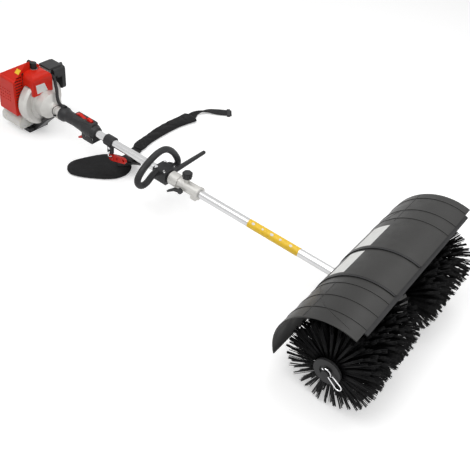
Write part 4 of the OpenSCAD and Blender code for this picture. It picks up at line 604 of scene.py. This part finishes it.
def puff(obj, voxel, growth, cap):
    """Swells a closed form with cloth pressure; no point moves further than the cap."""
    remesh = obj.modifiers.new("remesh", "REMESH")
    remesh.mode = "VOXEL"
    remesh.voxel_size = voxel
    settle(obj)
    scene = bpy.context.scene
    start = points_of(obj.data)
    cloth = obj.modifiers.new("cloth", "CLOTH")
    cloth.settings.quality = CLOTH_QUALITY
    cloth.settings.use_pressure = True
    cloth.settings.uniform_pressure_force = CLOTH_PRESSURE
    cloth.settings.shrink_min = -growth
    cloth.settings.effector_weights.gravity = 0
    for number in range(1, CLOTH_FRAMES + 1):
        scene.frame_set(number)
    graph = bpy.context.evaluated_depsgraph_get()
    moved = points_of(obj.evaluated_get(graph).data) - start
    obj.modifiers.clear()
    scene.frame_set(1)
    far = np.linalg.norm(moved, axis=1, keepdims=True)
    place = start + moved * np.minimum(1, cap / np.maximum(far, LEAST_MOVE))
    obj.data.vertices.foreach_set("co", place.ravel())
    smooth = obj.modifiers.new("smooth", "SUBSURF")
    smooth.levels = 1
    settle(obj)
    for poly in obj.data.polygons:
        poly.use_smooth = True


def lay_flat(obj):
    """Rests a form on the floor."""
    place = points_of(obj.data)
    place[:, 2] = np.maximum(place[:, 2], FLOOR_GAP)
    obj.data.vertices.foreach_set("co", place.ravel())
    obj.data.update()


def seam(name, obj, route, radius, closed):
    """A bound edge that follows a form's surface near a line."""
    places = [v.co for v in obj.data.vertices]
    tree = BVHTree.FromPolygons(places, [tuple(p.vertices) for p in obj.data.polygons])
    line = [tree.find_nearest(p)[0] for p in route]
    last = len(line) - 1
    for _ in range(SEAM_PASSES):
        line = [(line[i - 1] + 2 * p + line[(i + 1) % len(line)]) / 4 if closed or 0 < i < last else p
                for i, p in enumerate(line)]
    line = [Vector((p.x, p.y, max(p.z, radius * SEAM_FLAT))) for p in line]
    if closed:
        line.append(line[0])
    rings = []
    for i, p in enumerate(line):
        t = heading(line, i)
        if closed and i in (0, len(line) - 1):
            t = (line[1] - line[-2]).normalized()
        side = UP.cross(t).normalized()
        up = t.cross(side)
        swell = radius * (1 + SEAM_LUMP * math.sin(i * SEAM_BEAT))
        rings.append([p + swell * (math.cos(a) * side + SEAM_FLAT * math.sin(a) * up)
                      for a in full_turn(SEAM_SIDES)])
    piece = add_mesh(name, *skin(rings, not closed), "webbing_nylon")
    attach(piece, "machine")


# Hip pad: a leaf of foam in cloth, with a bound edge

PAD_PLACE = (0.338, -0.008)
PAD_TURN = math.radians(232)
PAD_LEN = 0.224
PAD_W = 0.184
PAD_POINT = 0.42
PAD_RING = 96
# From the underside over the edge to the crown: a share of the outline and a height
PAD_RISE = [(0.02, 0.001), (0.6, 0.001), (0.955, 0.001), (0.975, 0.003), (0.97, 0.0055), (0.93, 0.0072),
            (0.8, 0.0085), (0.5, 0.0095), (0.02, 0.0098)]
PAD_VOXEL = 0.0042
PAD_GROWTH = 0.012
PAD_CAP = 0.0035
PAD_EDGE_Z = 0.0042
PAD_EDGE_R = 0.0021


def leaf(a, share, z):
    """A point of the leaf's outline, drawn in to a share of its size."""
    taper = 1 - PAD_POINT * (1 + math.cos(a)) / 2 * abs(math.sin(a))
    x = share * PAD_LEN / 2 * math.cos(a)
    y = share * PAD_W / 2 * math.sin(a) * taper
    c = math.cos(PAD_TURN)
    s = math.sin(PAD_TURN)
    return Vector((PAD_PLACE[0] + c * x - s * y, PAD_PLACE[1] + s * x + c * y, z))


def make_hip_pad():
    """Rings from the underside over the edge to the crown, then swollen."""
    turns = full_turn(PAD_RING)
    rings = [[leaf(a, share, z) for a in turns] for share, z in PAD_RISE]
    obj = add_mesh("hip_pad_cloth", *skin(rings), "pad_fabric")
    puff(obj, PAD_VOXEL, PAD_GROWTH, PAD_CAP)
    lay_flat(obj)
    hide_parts("hip_pad")
    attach(obj, "machine")
    seam("hip_pad_binding", obj, [leaf(a, 1.0, PAD_EDGE_Z) for a in turns], PAD_EDGE_R, True)


make_hip_pad()


# Harness straps and the padded sleeve on the floor

WEB_W = 0.040
WEB_T = 0.003
PAD_STRAP = [
    (0.446, 0.005, 0.076), (0.446, 0.016, 0.076), (0.446, 0.034, 0.062), (0.438, 0.056, 0.036),
    (0.424, 0.072, 0.021), (0.406, 0.076, 0.015), (0.388, 0.060, 0.014), (0.372, 0.040, 0.014),
]
LONG_STRAP = [
    (0.446, 0.005, 0.086), (0.446, 0.016, 0.086), (0.441, 0.040, 0.080), (0.422, 0.070, 0.060),
    (0.400, 0.094, 0.038), (0.378, 0.114, 0.019), (0.364, 0.130, 0.010), (0.3584, 0.142, 0.0074),
    (0.3552, 0.155, 0.007),
]
TAIL_STRAP = [
    (0.3452, 0.4614, 0.007), (0.346, 0.474, 0.0095), (0.347, 0.490, 0.0115), (0.350, 0.508, 0.0105),
    (0.356, 0.526, 0.009), (0.366, 0.543, 0.0075), (0.380, 0.558, 0.005), (0.398, 0.574, 0.0038),
    (0.414, 0.587, 0.0036), (0.432, 0.602, 0.0036),
]
# The tail is gathered and turned over once: its roll in degrees and its shares of width and thickness
TAIL_ROLLS = (0, 20, 70, 120, 160, 178, 180, 180, 180, 180)
TAIL_WIDTHS = (1, 0.72, 0.45, 0.38, 0.42, 0.62, 0.88, 1, 1, 1)
TAIL_DEPTHS = (1, 1.3, 1.8, 2, 1.8, 1.4, 1.1, 1, 1, 1)
STRAP_STEPS = 10
# One half of a strap's section, in shares of its width and thickness; the other half is turned round
STRAP_HALF = [(-0.5, 0.0), (-0.485, 0.36), (-0.45, 0.5), (-0.25, 0.5), (0.0, 0.5), (0.25, 0.5),
              (0.45, 0.5), (0.485, 0.36)]
STRAP_SHAPE = STRAP_HALF + [(-u, -v) for u, v in STRAP_HALF]


def make_strap(name, route, rolls, widths, depths):
    """A flat strap with rounded edges, rolled and gathered along its line."""
    line = spline(route, STRAP_STEPS)
    shape = spline(list(zip(rolls, widths, depths)), STRAP_STEPS)
    rings = []
    for i, p in enumerate(line):
        t = heading(line, i)
        flat = UP.cross(t).normalized()
        up = t.cross(flat)
        a = math.radians(shape[i].x)
        side = (math.cos(a) * flat + math.sin(a) * up) * (WEB_W * shape[i].y)
        rise = (math.cos(a) * up - math.sin(a) * flat) * (WEB_T * shape[i].z)
        rings.append([p + side * u + rise * v for u, v in STRAP_SHAPE])
    obj = add_mesh(name, *skin(rings), "webbing_nylon")
    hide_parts("webbing")
    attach(obj, "machine")


def plain_strap(name, route):
    """A strap of full width that lies flat along its line."""
    make_strap(name, route, [0] * len(route), [1] * len(route), [1] * len(route))


plain_strap("pad_strap", PAD_STRAP)
plain_strap("long_strap", LONG_STRAP)
make_strap("tail_strap", TAIL_STRAP, TAIL_ROLLS, TAIL_WIDTHS, TAIL_DEPTHS)

SLEEVE_W = 0.074
SLEEVE_T = 0.0105
# The near end's share of the width, the share that both ends are drawn in to, and how fast they widen
SLEEVE_NEAR = 0.64
SLEEVE_END = 0.72
SLEEVE_WIDEN = 3
SLEEVE_ROUTE = [(0.354, 0.158, 0), (0.340, 0.215, 0), (0.333, 0.290, 0), (0.334, 0.370, 0),
                (0.342, 0.430, 0), (0.345, 0.460, 0)]
SLEEVE_STEPS = 24
SLEEVE_SIDES = 40
# Powers that square the section off along its width and its height
SLEEVE_SQUARE = (0.7, 0.8)
SLEEVE_MARGIN = 0.0012
SLEEVE_LIFT = 0.0008
SLEEVE_RIDGE = 0.22
SLEEVE_RIDGE_AT = 0.25
SLEEVE_RIDGE_W = 0.22
SLEEVE_VOXEL = 0.0034
SLEEVE_GROWTH = 0.05
SLEEVE_CAP = 0.004
SLEEVE_EDGE_Z = 0.006
SLEEVE_EDGE_OUT = 0.004
SLEEVE_EDGE_R = 0.0016
SLEEVE_SEED = 8
# Puckers: their number, and ranges of their place, width and depth in shares, and of their slant
FOLDS = 34
FOLD_PLACES = (0.03, 0.97)
FOLD_WIDTHS = (0.009, 0.028)
FOLD_DEPTHS = (-0.5, 0.25)
FOLD_SLANTS = (-2, 2)
FOLD_LEAN = 0.05
FOLD_LIMITS = (0.35, 1.25)


def sleeve_half(s):
    """Half the sleeve's width at a share of its length."""
    pull = min(1.0, SLEEVE_END + SLEEVE_WIDEN * min(s, 1 - s))
    return SLEEVE_W / 2 * pull * (SLEEVE_NEAR + (1 - SLEEVE_NEAR) * s)


def squared(value, power):
    """A sine or cosine pushed outwards, so that a round section becomes squarer."""
    return math.copysign(abs(value) ** power, value)


def sleeve_rise(s, u, v, folds):
    """The height of a point of the sleeve's section: puckered and ridged above, plain below."""
    if v <= 0:
        return SLEEVE_T / 2 * (1 + v)
    swell = 1 + sum(deep * math.exp(-((s - at - slant * FOLD_LEAN * u) / wide) ** 2)
                    for at, wide, deep, slant in folds)
    swell = min(max(swell, FOLD_LIMITS[0]), FOLD_LIMITS[1])
    ridge = 1 + SLEEVE_RIDGE * math.exp(-((u - SLEEVE_RIDGE_AT) / SLEEVE_RIDGE_W) ** 2)
    return SLEEVE_T / 2 * (1 + v * (swell * ridge))


def make_sleeve():
    """The padded sleeve: a flat pillow, drawn in at both ends, crossed by puckers and swollen."""
    draw = random.Random(SLEEVE_SEED)
    line = spline(SLEEVE_ROUTE, SLEEVE_STEPS)
    ranges = (FOLD_PLACES, FOLD_WIDTHS, FOLD_DEPTHS, FOLD_SLANTS)
    folds = [tuple(draw.uniform(*ends) for ends in ranges) for _ in range(FOLDS)]
    rings = []
    edges = ([], [])
    for i, p in enumerate(line):
        side = UP.cross(heading(line, i)).normalized()
        s = i / (len(line) - 1)
        half = sleeve_half(s) - SLEEVE_MARGIN
        ring = []
        for a in full_turn(SLEEVE_SIDES):
            u = squared(math.cos(a), SLEEVE_SQUARE[0])
            v = squared(math.sin(a), SLEEVE_SQUARE[1])
            ring.append(p - side * (u * half) + UP * (sleeve_rise(s, u, v, folds) + SLEEVE_LIFT))
        rings.append(ring)
        for edge, way in zip(edges, (-1, 1)):
            edge.append(p + side * (way * (half + SLEEVE_EDGE_OUT)) + UP * SLEEVE_EDGE_Z)
    obj = add_mesh("shoulder_sleeve", *skin(rings), "pad_fabric")
    puff(obj, SLEEVE_VOXEL, SLEEVE_GROWTH, SLEEVE_CAP)
    lay_flat(obj)
    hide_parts("shoulder_pad")
    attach(obj, "machine")
    for name, edge in zip(("sleeve_seam_near", "sleeve_seam_far"), edges):
        seam(name, obj, edge, SLEEVE_EDGE_R, False)


make_sleeve()


# Starter rope: hidden in the eye at rest; a short straight length from the eye towards the grip

EYE_X = -0.066
EYE_RISE = 0.026
EYE_Z = AXIS_Z + EYE_RISE
ROPE_R = 0.0016
ROPE_SIDES = 10
ROPE_STEPS = 60
ROPE_Y = 0.030
ROPE_LEN = 0.0345


def make_rope():
    """A plain straight rope from the starter towards its grip."""
    line = [Vector((EYE_X, ROPE_Y + ROPE_LEN * k / ROPE_STEPS, EYE_Z)) for k in range(ROPE_STEPS + 1)]
    rings = tube_rings(line, [ROPE_R] * len(line), ROPE_SIDES)
    obj = add_mesh("starter_rope", *skin(rings), "webbing_nylon")
    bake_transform(obj)


make_rope()


# Blank stickers, the moulded lines of the guard, and dark strips at its seams that paint the shadow of each
# overlapping panel's edge

STICKER_T = 0.0002
STICKER_GAP = 0.0001
ARC_LEAST_STEPS = 12
# On the guard: the panel's layer, the angles round the axle in degrees and the ends along it
GUARD_STICKERS = {
    "sticker_centre": dict(layer=1, angles=(129, 147), ends=(-0.105, 0.003)),
    "sticker_left": dict(layer=2, angles=(127.5, 147), ends=(0.026, 0.139)),
}
# On the engine cover's front face
COVER_FRONT = 0.072
COVER_CORNERS = [(-0.0327, 0.1747), (0.0115, 0.1752), (-0.0005, 0.206), (-0.0358, 0.2077)]
# On the muffler cover's sloping side: a point of the slope, its rise and the sticker's ends along x and y
SLOPE_TOP = (-0.0491, 0.2458)
SLOPE_RISE = 0.9583
SLOPE_X = (-0.0015, 0.018)
SLOPE_Y = (-0.0610, -0.0491)


def arc_patch(name, layer, angles, ends, look, thick=STICKER_T):
    """A thin piece bent round the axle, on one layer of the guard."""
    low = GUARD_TOP + layer * GUARD_STEP + STICKER_GAP
    section = [(low, ends[0]), (low + thick, ends[0]), (low + thick, ends[1]), (low, ends[1])]
    steps = max(ARC_LEAST_STEPS, round(abs(angles[1] - angles[0])))
    rings = []
    for k in range(steps + 1):
        a = math.radians(angles[0] + (angles[1] - angles[0]) * k / steps)
        rings.append([Vector((BRUSH_X + r * math.cos(a), y, AXIS_Z + r * math.sin(a))) for r, y in section])
    obj = add_mesh(name, *skin(rings), look, smooth=False)
    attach(obj, "attachment")


def flat_patch(name, corners, normal, look):
    """A thin flat sticker on a flat face of the engine."""
    normal = Vector(normal).normalized()
    low = [Vector(c) + normal * STICKER_GAP for c in corners]
    obj = add_mesh(name, *skin([low, [c + normal * STICKER_T for c in low]]), look, smooth=False)
    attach(obj, "machine")


def slope_point(x, y):
    """A point on the muffler cover's sloping side."""
    return (x, y, SLOPE_TOP[1] + (y - SLOPE_TOP[0]) * SLOPE_RISE)


for sticker_name, row in GUARD_STICKERS.items():
    arc_patch(sticker_name, look="sticker_white", **row)
flat_patch("sticker_cover", [(COVER_FRONT, y, z) for y, z in COVER_CORNERS], (1, 0, 0), "sticker_white")
flat_patch("sticker_muffler", [slope_point(SLOPE_X[0], SLOPE_Y[0]), slope_point(SLOPE_X[1], SLOPE_Y[0]),
                               slope_point(SLOPE_X[1], SLOPE_Y[1]), slope_point(SLOPE_X[0], SLOPE_Y[1])],
           (0, -SLOPE_RISE, 1), "sticker_yellow")

# Section of a moulded line: places across it and heights over the panel
RIDGE_SHAPE = [(-0.0013, -0.0004), (-0.0007, 0.0008), (0.0007, 0.0008), (0.0013, -0.0004)]
RIDGE_STEPS = 14
# A line is smoothed in degrees and millimetres, which are of a like size on the guard
RIDGE_UNIT = 1000
# Each line: the panel's layer, then its points as an angle in degrees and a place along the axle
GUARD_LINES = {
    "guard_line_right": (0, [(147.7, -0.147), (135, -0.193), (119.5, -0.242), (102, -0.271),
                             (84.7, -0.286)]),
    "guard_line_left": (2, [(150, 0.182), (140, 0.205), (128, 0.238)]),
    "guard_rule_right": (0, [(128, -0.297), (128, -0.223), (128, -0.149)]),
    "guard_rule_left": (2, [(128, 0.166), (128, 0.246), (128, 0.326)]),
}
# Dark strips along the seam steps, on the panel below each overlapping edge: painted shadow of that edge
SEAM_SHADE_STRIP_T = 0.0026
SEAM_SHADE_STRIP_ANGLES = (74.6, 200.4)
SEAM_SHADE_STRIPS = {
    "seam_shade_strip_right": dict(layer=0, ends=(-0.1200, -0.1142)),
    "seam_shade_strip_left": dict(layer=1, ends=(0.0120, 0.0178)),
}


def guard_ridge(name, layer, points):
    """A thin moulded line on the guard."""
    radius = GUARD_TOP + layer * GUARD_STEP
    line = spline([(a, y * RIDGE_UNIT, 0) for a, y in points], RIDGE_STEPS)
    rings = []
    for i, p in enumerate(line):
        t = heading(line, i)
        a = math.radians(p.x)
        out = Vector((math.cos(a), 0, math.sin(a)))
        around = Vector((-math.sin(a), 0, math.cos(a)))
        along = (around * math.radians(t.x) * radius + Vector((0, t.y / RIDGE_UNIT, 0))).normalized()
        across = out.cross(along)
        centre = Vector((BRUSH_X, p.y / RIDGE_UNIT, AXIS_Z)) + out * radius
        rings.append([centre + across * u + out * h for u, h in RIDGE_SHAPE])
    obj = add_mesh(name, *skin(rings), "guard_plastic", smooth=False)
    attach(obj, "attachment")


for line_name, (line_layer, line_points) in GUARD_LINES.items():
    guard_ridge(line_name, line_layer, line_points)
# The seam strips are painted shadow, in a darker finish than the guard
for shade_strip_name, row in SEAM_SHADE_STRIPS.items():
    arc_patch(shade_strip_name, angles=SEAM_SHADE_STRIP_ANGLES, look="frame_paint", thick=SEAM_SHADE_STRIP_T, **row)


# Yellow sleeve on the lower tube, with its blank spots

LABEL_X = (0.952, 1.130)
LABEL_PROUD = 0.00025
LABEL_R = TUBE_R + LABEL_PROUD
LABEL_T = 0.0002
LABEL_SIDES = 48
# Each pale spot: its share of the label's length, its half length and its half width in degrees
LABEL_SPOTS = [(0.10, 0.0055, 17), (0.29, 0.0035, 13), (0.47, 0.0060, 19), (0.64, 0.0040, 14),
               (0.84, 0.0050, 16)]
SPOT_TURN = 118
SPOT_STEPS = 8
SPOT_HALF_STEPS = 4
SPOT_SQUARE = 4
SPOT_LEAST_SHARE = 0.05


def tube_point(x, radius, a):
    """A point round the tube's axis."""
    return Vector((x, radius * math.cos(a), AXIS_Z + radius * math.sin(a)))


def make_tube_label():
    """A plain coloured sleeve round the tube."""
    inner = LABEL_R - LABEL_T
    section = [(LABEL_X[0], inner), (LABEL_X[0], LABEL_R), (LABEL_X[1], LABEL_R), (LABEL_X[1], inner)]
    rings = [[tube_point(x, r, a) for a in full_turn(LABEL_SIDES)] for x, r in section]
    obj = add_mesh("tube_label", *skin(rings, False), "sticker_yellow", smooth=False)
    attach(obj, "attachment")


def make_label_spot(name, x, reach, turn):
    """A small blank spot bent round the tube, with rounded corners."""
    ways = [j / SPOT_HALF_STEPS - 1 for j in range(2 * SPOT_HALF_STEPS + 1)]
    rings = []
    for k in range(SPOT_STEPS + 1):
        share = -math.cos(math.pi * k / SPOT_STEPS)
        width = turn * max(1 - abs(share) ** SPOT_SQUARE, SPOT_LEAST_SHARE)
        ring = []
        for r, sign in ((LABEL_R, 1), (LABEL_R + STICKER_T, -1)):
            for way in ways:
                a = math.radians(SPOT_TURN + sign * way * width)
                ring.append(tube_point(x + share * reach, r, a))
        rings.append(ring)
    obj = add_mesh(name, *skin(rings), "sticker_white")
    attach(obj, "attachment")


make_tube_label()
for number, (share, reach, turn) in enumerate(LABEL_SPOTS):
    spot_x = LABEL_X[0] + share * (LABEL_X[1] - LABEL_X[0])
    make_label_spot("label_spot_%d" % number, spot_x, reach, turn)


# Short switch wire: from under the hose round the clutch housing's neck, into a grommet on it

WIRE_R = 0.0012
WIRE_SIDES = 10
WIRE_STEPS = 10
WIRE_PITCH = 0.0015
WIRE_ROUTE = [
    (0.1440, 0.0020, 0.1500), (0.1428, -0.0042, 0.1522), (0.1395, -0.0110, 0.1518),
    (0.1350, -0.0170, 0.1478), (0.1312, -0.0208, 0.1410), (0.1292, -0.0222, 0.1330),
    (0.1288, -0.0218, 0.1250), (0.1296, -0.0200, 0.1185), (0.1312, -0.0172, 0.1140),
    (0.1330, -0.0130, 0.1115),
]
# The grommet's profile: a distance from its foot and a radius
GROMMET = [(0.0, 0.0034), (0.002, 0.0036), (0.0045, 0.003), (0.008, 0.0024), (0.0095, 0.0013)]
GROMMET_SIDES = 14


def make_wire():
    """The wire and its grommet."""
    line = even_line(spline(WIRE_ROUTE, WIRE_STEPS), WIRE_PITCH)
    rings = tube_rings(line, [WIRE_R] * len(line), WIRE_SIDES)
    wire = add_mesh("switch_wire", *skin(rings), "conduit_plastic")
    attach(wire, "machine")
    end = line[-1]
    away = -heading(line, len(line) - 1)
    rings = tube_rings([end + away * d for d, r in GROMMET], [r for d, r in GROMMET], GROMMET_SIDES)
    grommet = add_mesh("wire_grommet", *skin(rings), "boot_rubber")
    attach(grommet, "machine")


make_wire()


# Floor, backdrop and light

FLOOR_HALF = 12.0
FLOOR_DROP = 0.0006
FLOOR_GREY = 0.82
FLOOR_ROUGH = 0.9
FLOOR_SPECULAR = 0.1
FLOOR_LIFT = 0.4
WORLD_LIGHT = 0.33
WORLD_SEEN = 1.0
# Each lamp: its name, place, size and power
LAMPS = (
    ("key", (0.2, -1.4, 3.2), 2.2, 47.0),
    ("top", (1.4, 0.9, 3.0), 2.6, 39.0),
    ("fill", (3.6, -1.6, 1.6), 2.0, 16.0),
)
LAMP_AIM = Vector((0.8, 0, 0.1))


def seen_rays(tree):
    """One for rays from the camera, from gloss and through clear things, and zero for the rest."""
    path = tree.nodes.new("ShaderNodeLightPath")
    seen = path.outputs["Is Camera Ray"]
    for other in ("Is Glossy Ray", "Is Transmission Ray"):
        either = tree.nodes.new("ShaderNodeMath")
        either.operation = "MAXIMUM"
        tree.links.new(seen, either.inputs[0])
        tree.links.new(path.outputs[other], either.inputs[1])
        seen = either.outputs[0]
    return seen


def floor_material():
    """A pale matt floor, lifted towards white for the camera and in gloss."""
    mat = bpy.data.materials.new("floor")
    mat.use_nodes = True
    nodes = mat.node_tree.nodes
    links = mat.node_tree.links
    shader = nodes["Principled BSDF"]
    shader.inputs["Base Color"].default_value = (FLOOR_GREY, FLOOR_GREY, FLOOR_GREY, 1)
    shader.inputs["Roughness"].default_value = FLOOR_ROUGH
    shader.inputs["Specular IOR Level"].default_value = FLOOR_SPECULAR
    lift = nodes.new("ShaderNodeMath")
    lift.operation = "MULTIPLY"
    lift.inputs[1].default_value = FLOOR_LIFT
    links.new(seen_rays(mat.node_tree), lift.inputs[0])
    glow = nodes.new("ShaderNodeEmission")
    links.new(lift.outputs[0], glow.inputs["Strength"])
    both = nodes.new("ShaderNodeAddShader")
    links.new(shader.outputs["BSDF"], both.inputs[0])
    links.new(glow.outputs["Emission"], both.inputs[1])
    links.new(both.outputs["Shader"], nodes["Material Output"].inputs["Surface"])
    return mat


def make_stage():
    """A wide floor that keeps soft shadows."""
    corners = [(-FLOOR_HALF, -FLOOR_HALF, 0), (FLOOR_HALF, -FLOOR_HALF, 0), (FLOOR_HALF, FLOOR_HALF, 0),
               (-FLOOR_HALF, FLOOR_HALF, 0)]
    mesh = bpy.data.meshes.new("floor")
    mesh.from_pydata(corners, [], [(0, 1, 2, 3)])
    mesh.materials.append(floor_material())
    floor = bpy.data.objects.new("floor", mesh)
    floor.location.z = -FLOOR_DROP
    bpy.context.scene.collection.objects.link(floor)


def make_world():
    """An even world that lights softly and shows white to the camera and in gloss."""
    world = bpy.data.worlds.new("studio")
    bpy.context.scene.world = world
    world.use_nodes = True
    tree = world.node_tree
    back = tree.nodes["Background"]
    back.inputs["Color"].default_value = (1, 1, 1, 1)
    level = tree.nodes.new("ShaderNodeMath")
    level.operation = "MULTIPLY_ADD"
    level.inputs[1].default_value = WORLD_SEEN - WORLD_LIGHT
    level.inputs[2].default_value = WORLD_LIGHT
    tree.links.new(seen_rays(tree), level.inputs[0])
    tree.links.new(level.outputs[0], back.inputs["Strength"])


def make_lamps():
    """Two large soft lamps above and a weaker fill, all aimed at the object's middle."""
    for name, place, size, power in LAMPS:
        data = bpy.data.lights.new(name, "AREA")
        data.size = size
        data.energy = power
        lamp = bpy.data.objects.new(name, data)
        lamp.location = place
        lamp.rotation_mode = "QUATERNION"
        lamp.rotation_quaternion = (LAMP_AIM - Vector(place)).to_track_quat("-Z", "Y")
        bpy.context.scene.collection.objects.link(lamp)


make_stage()
make_world()
make_lamps()
bpy.context.scene.view_settings.view_transform = "Standard"
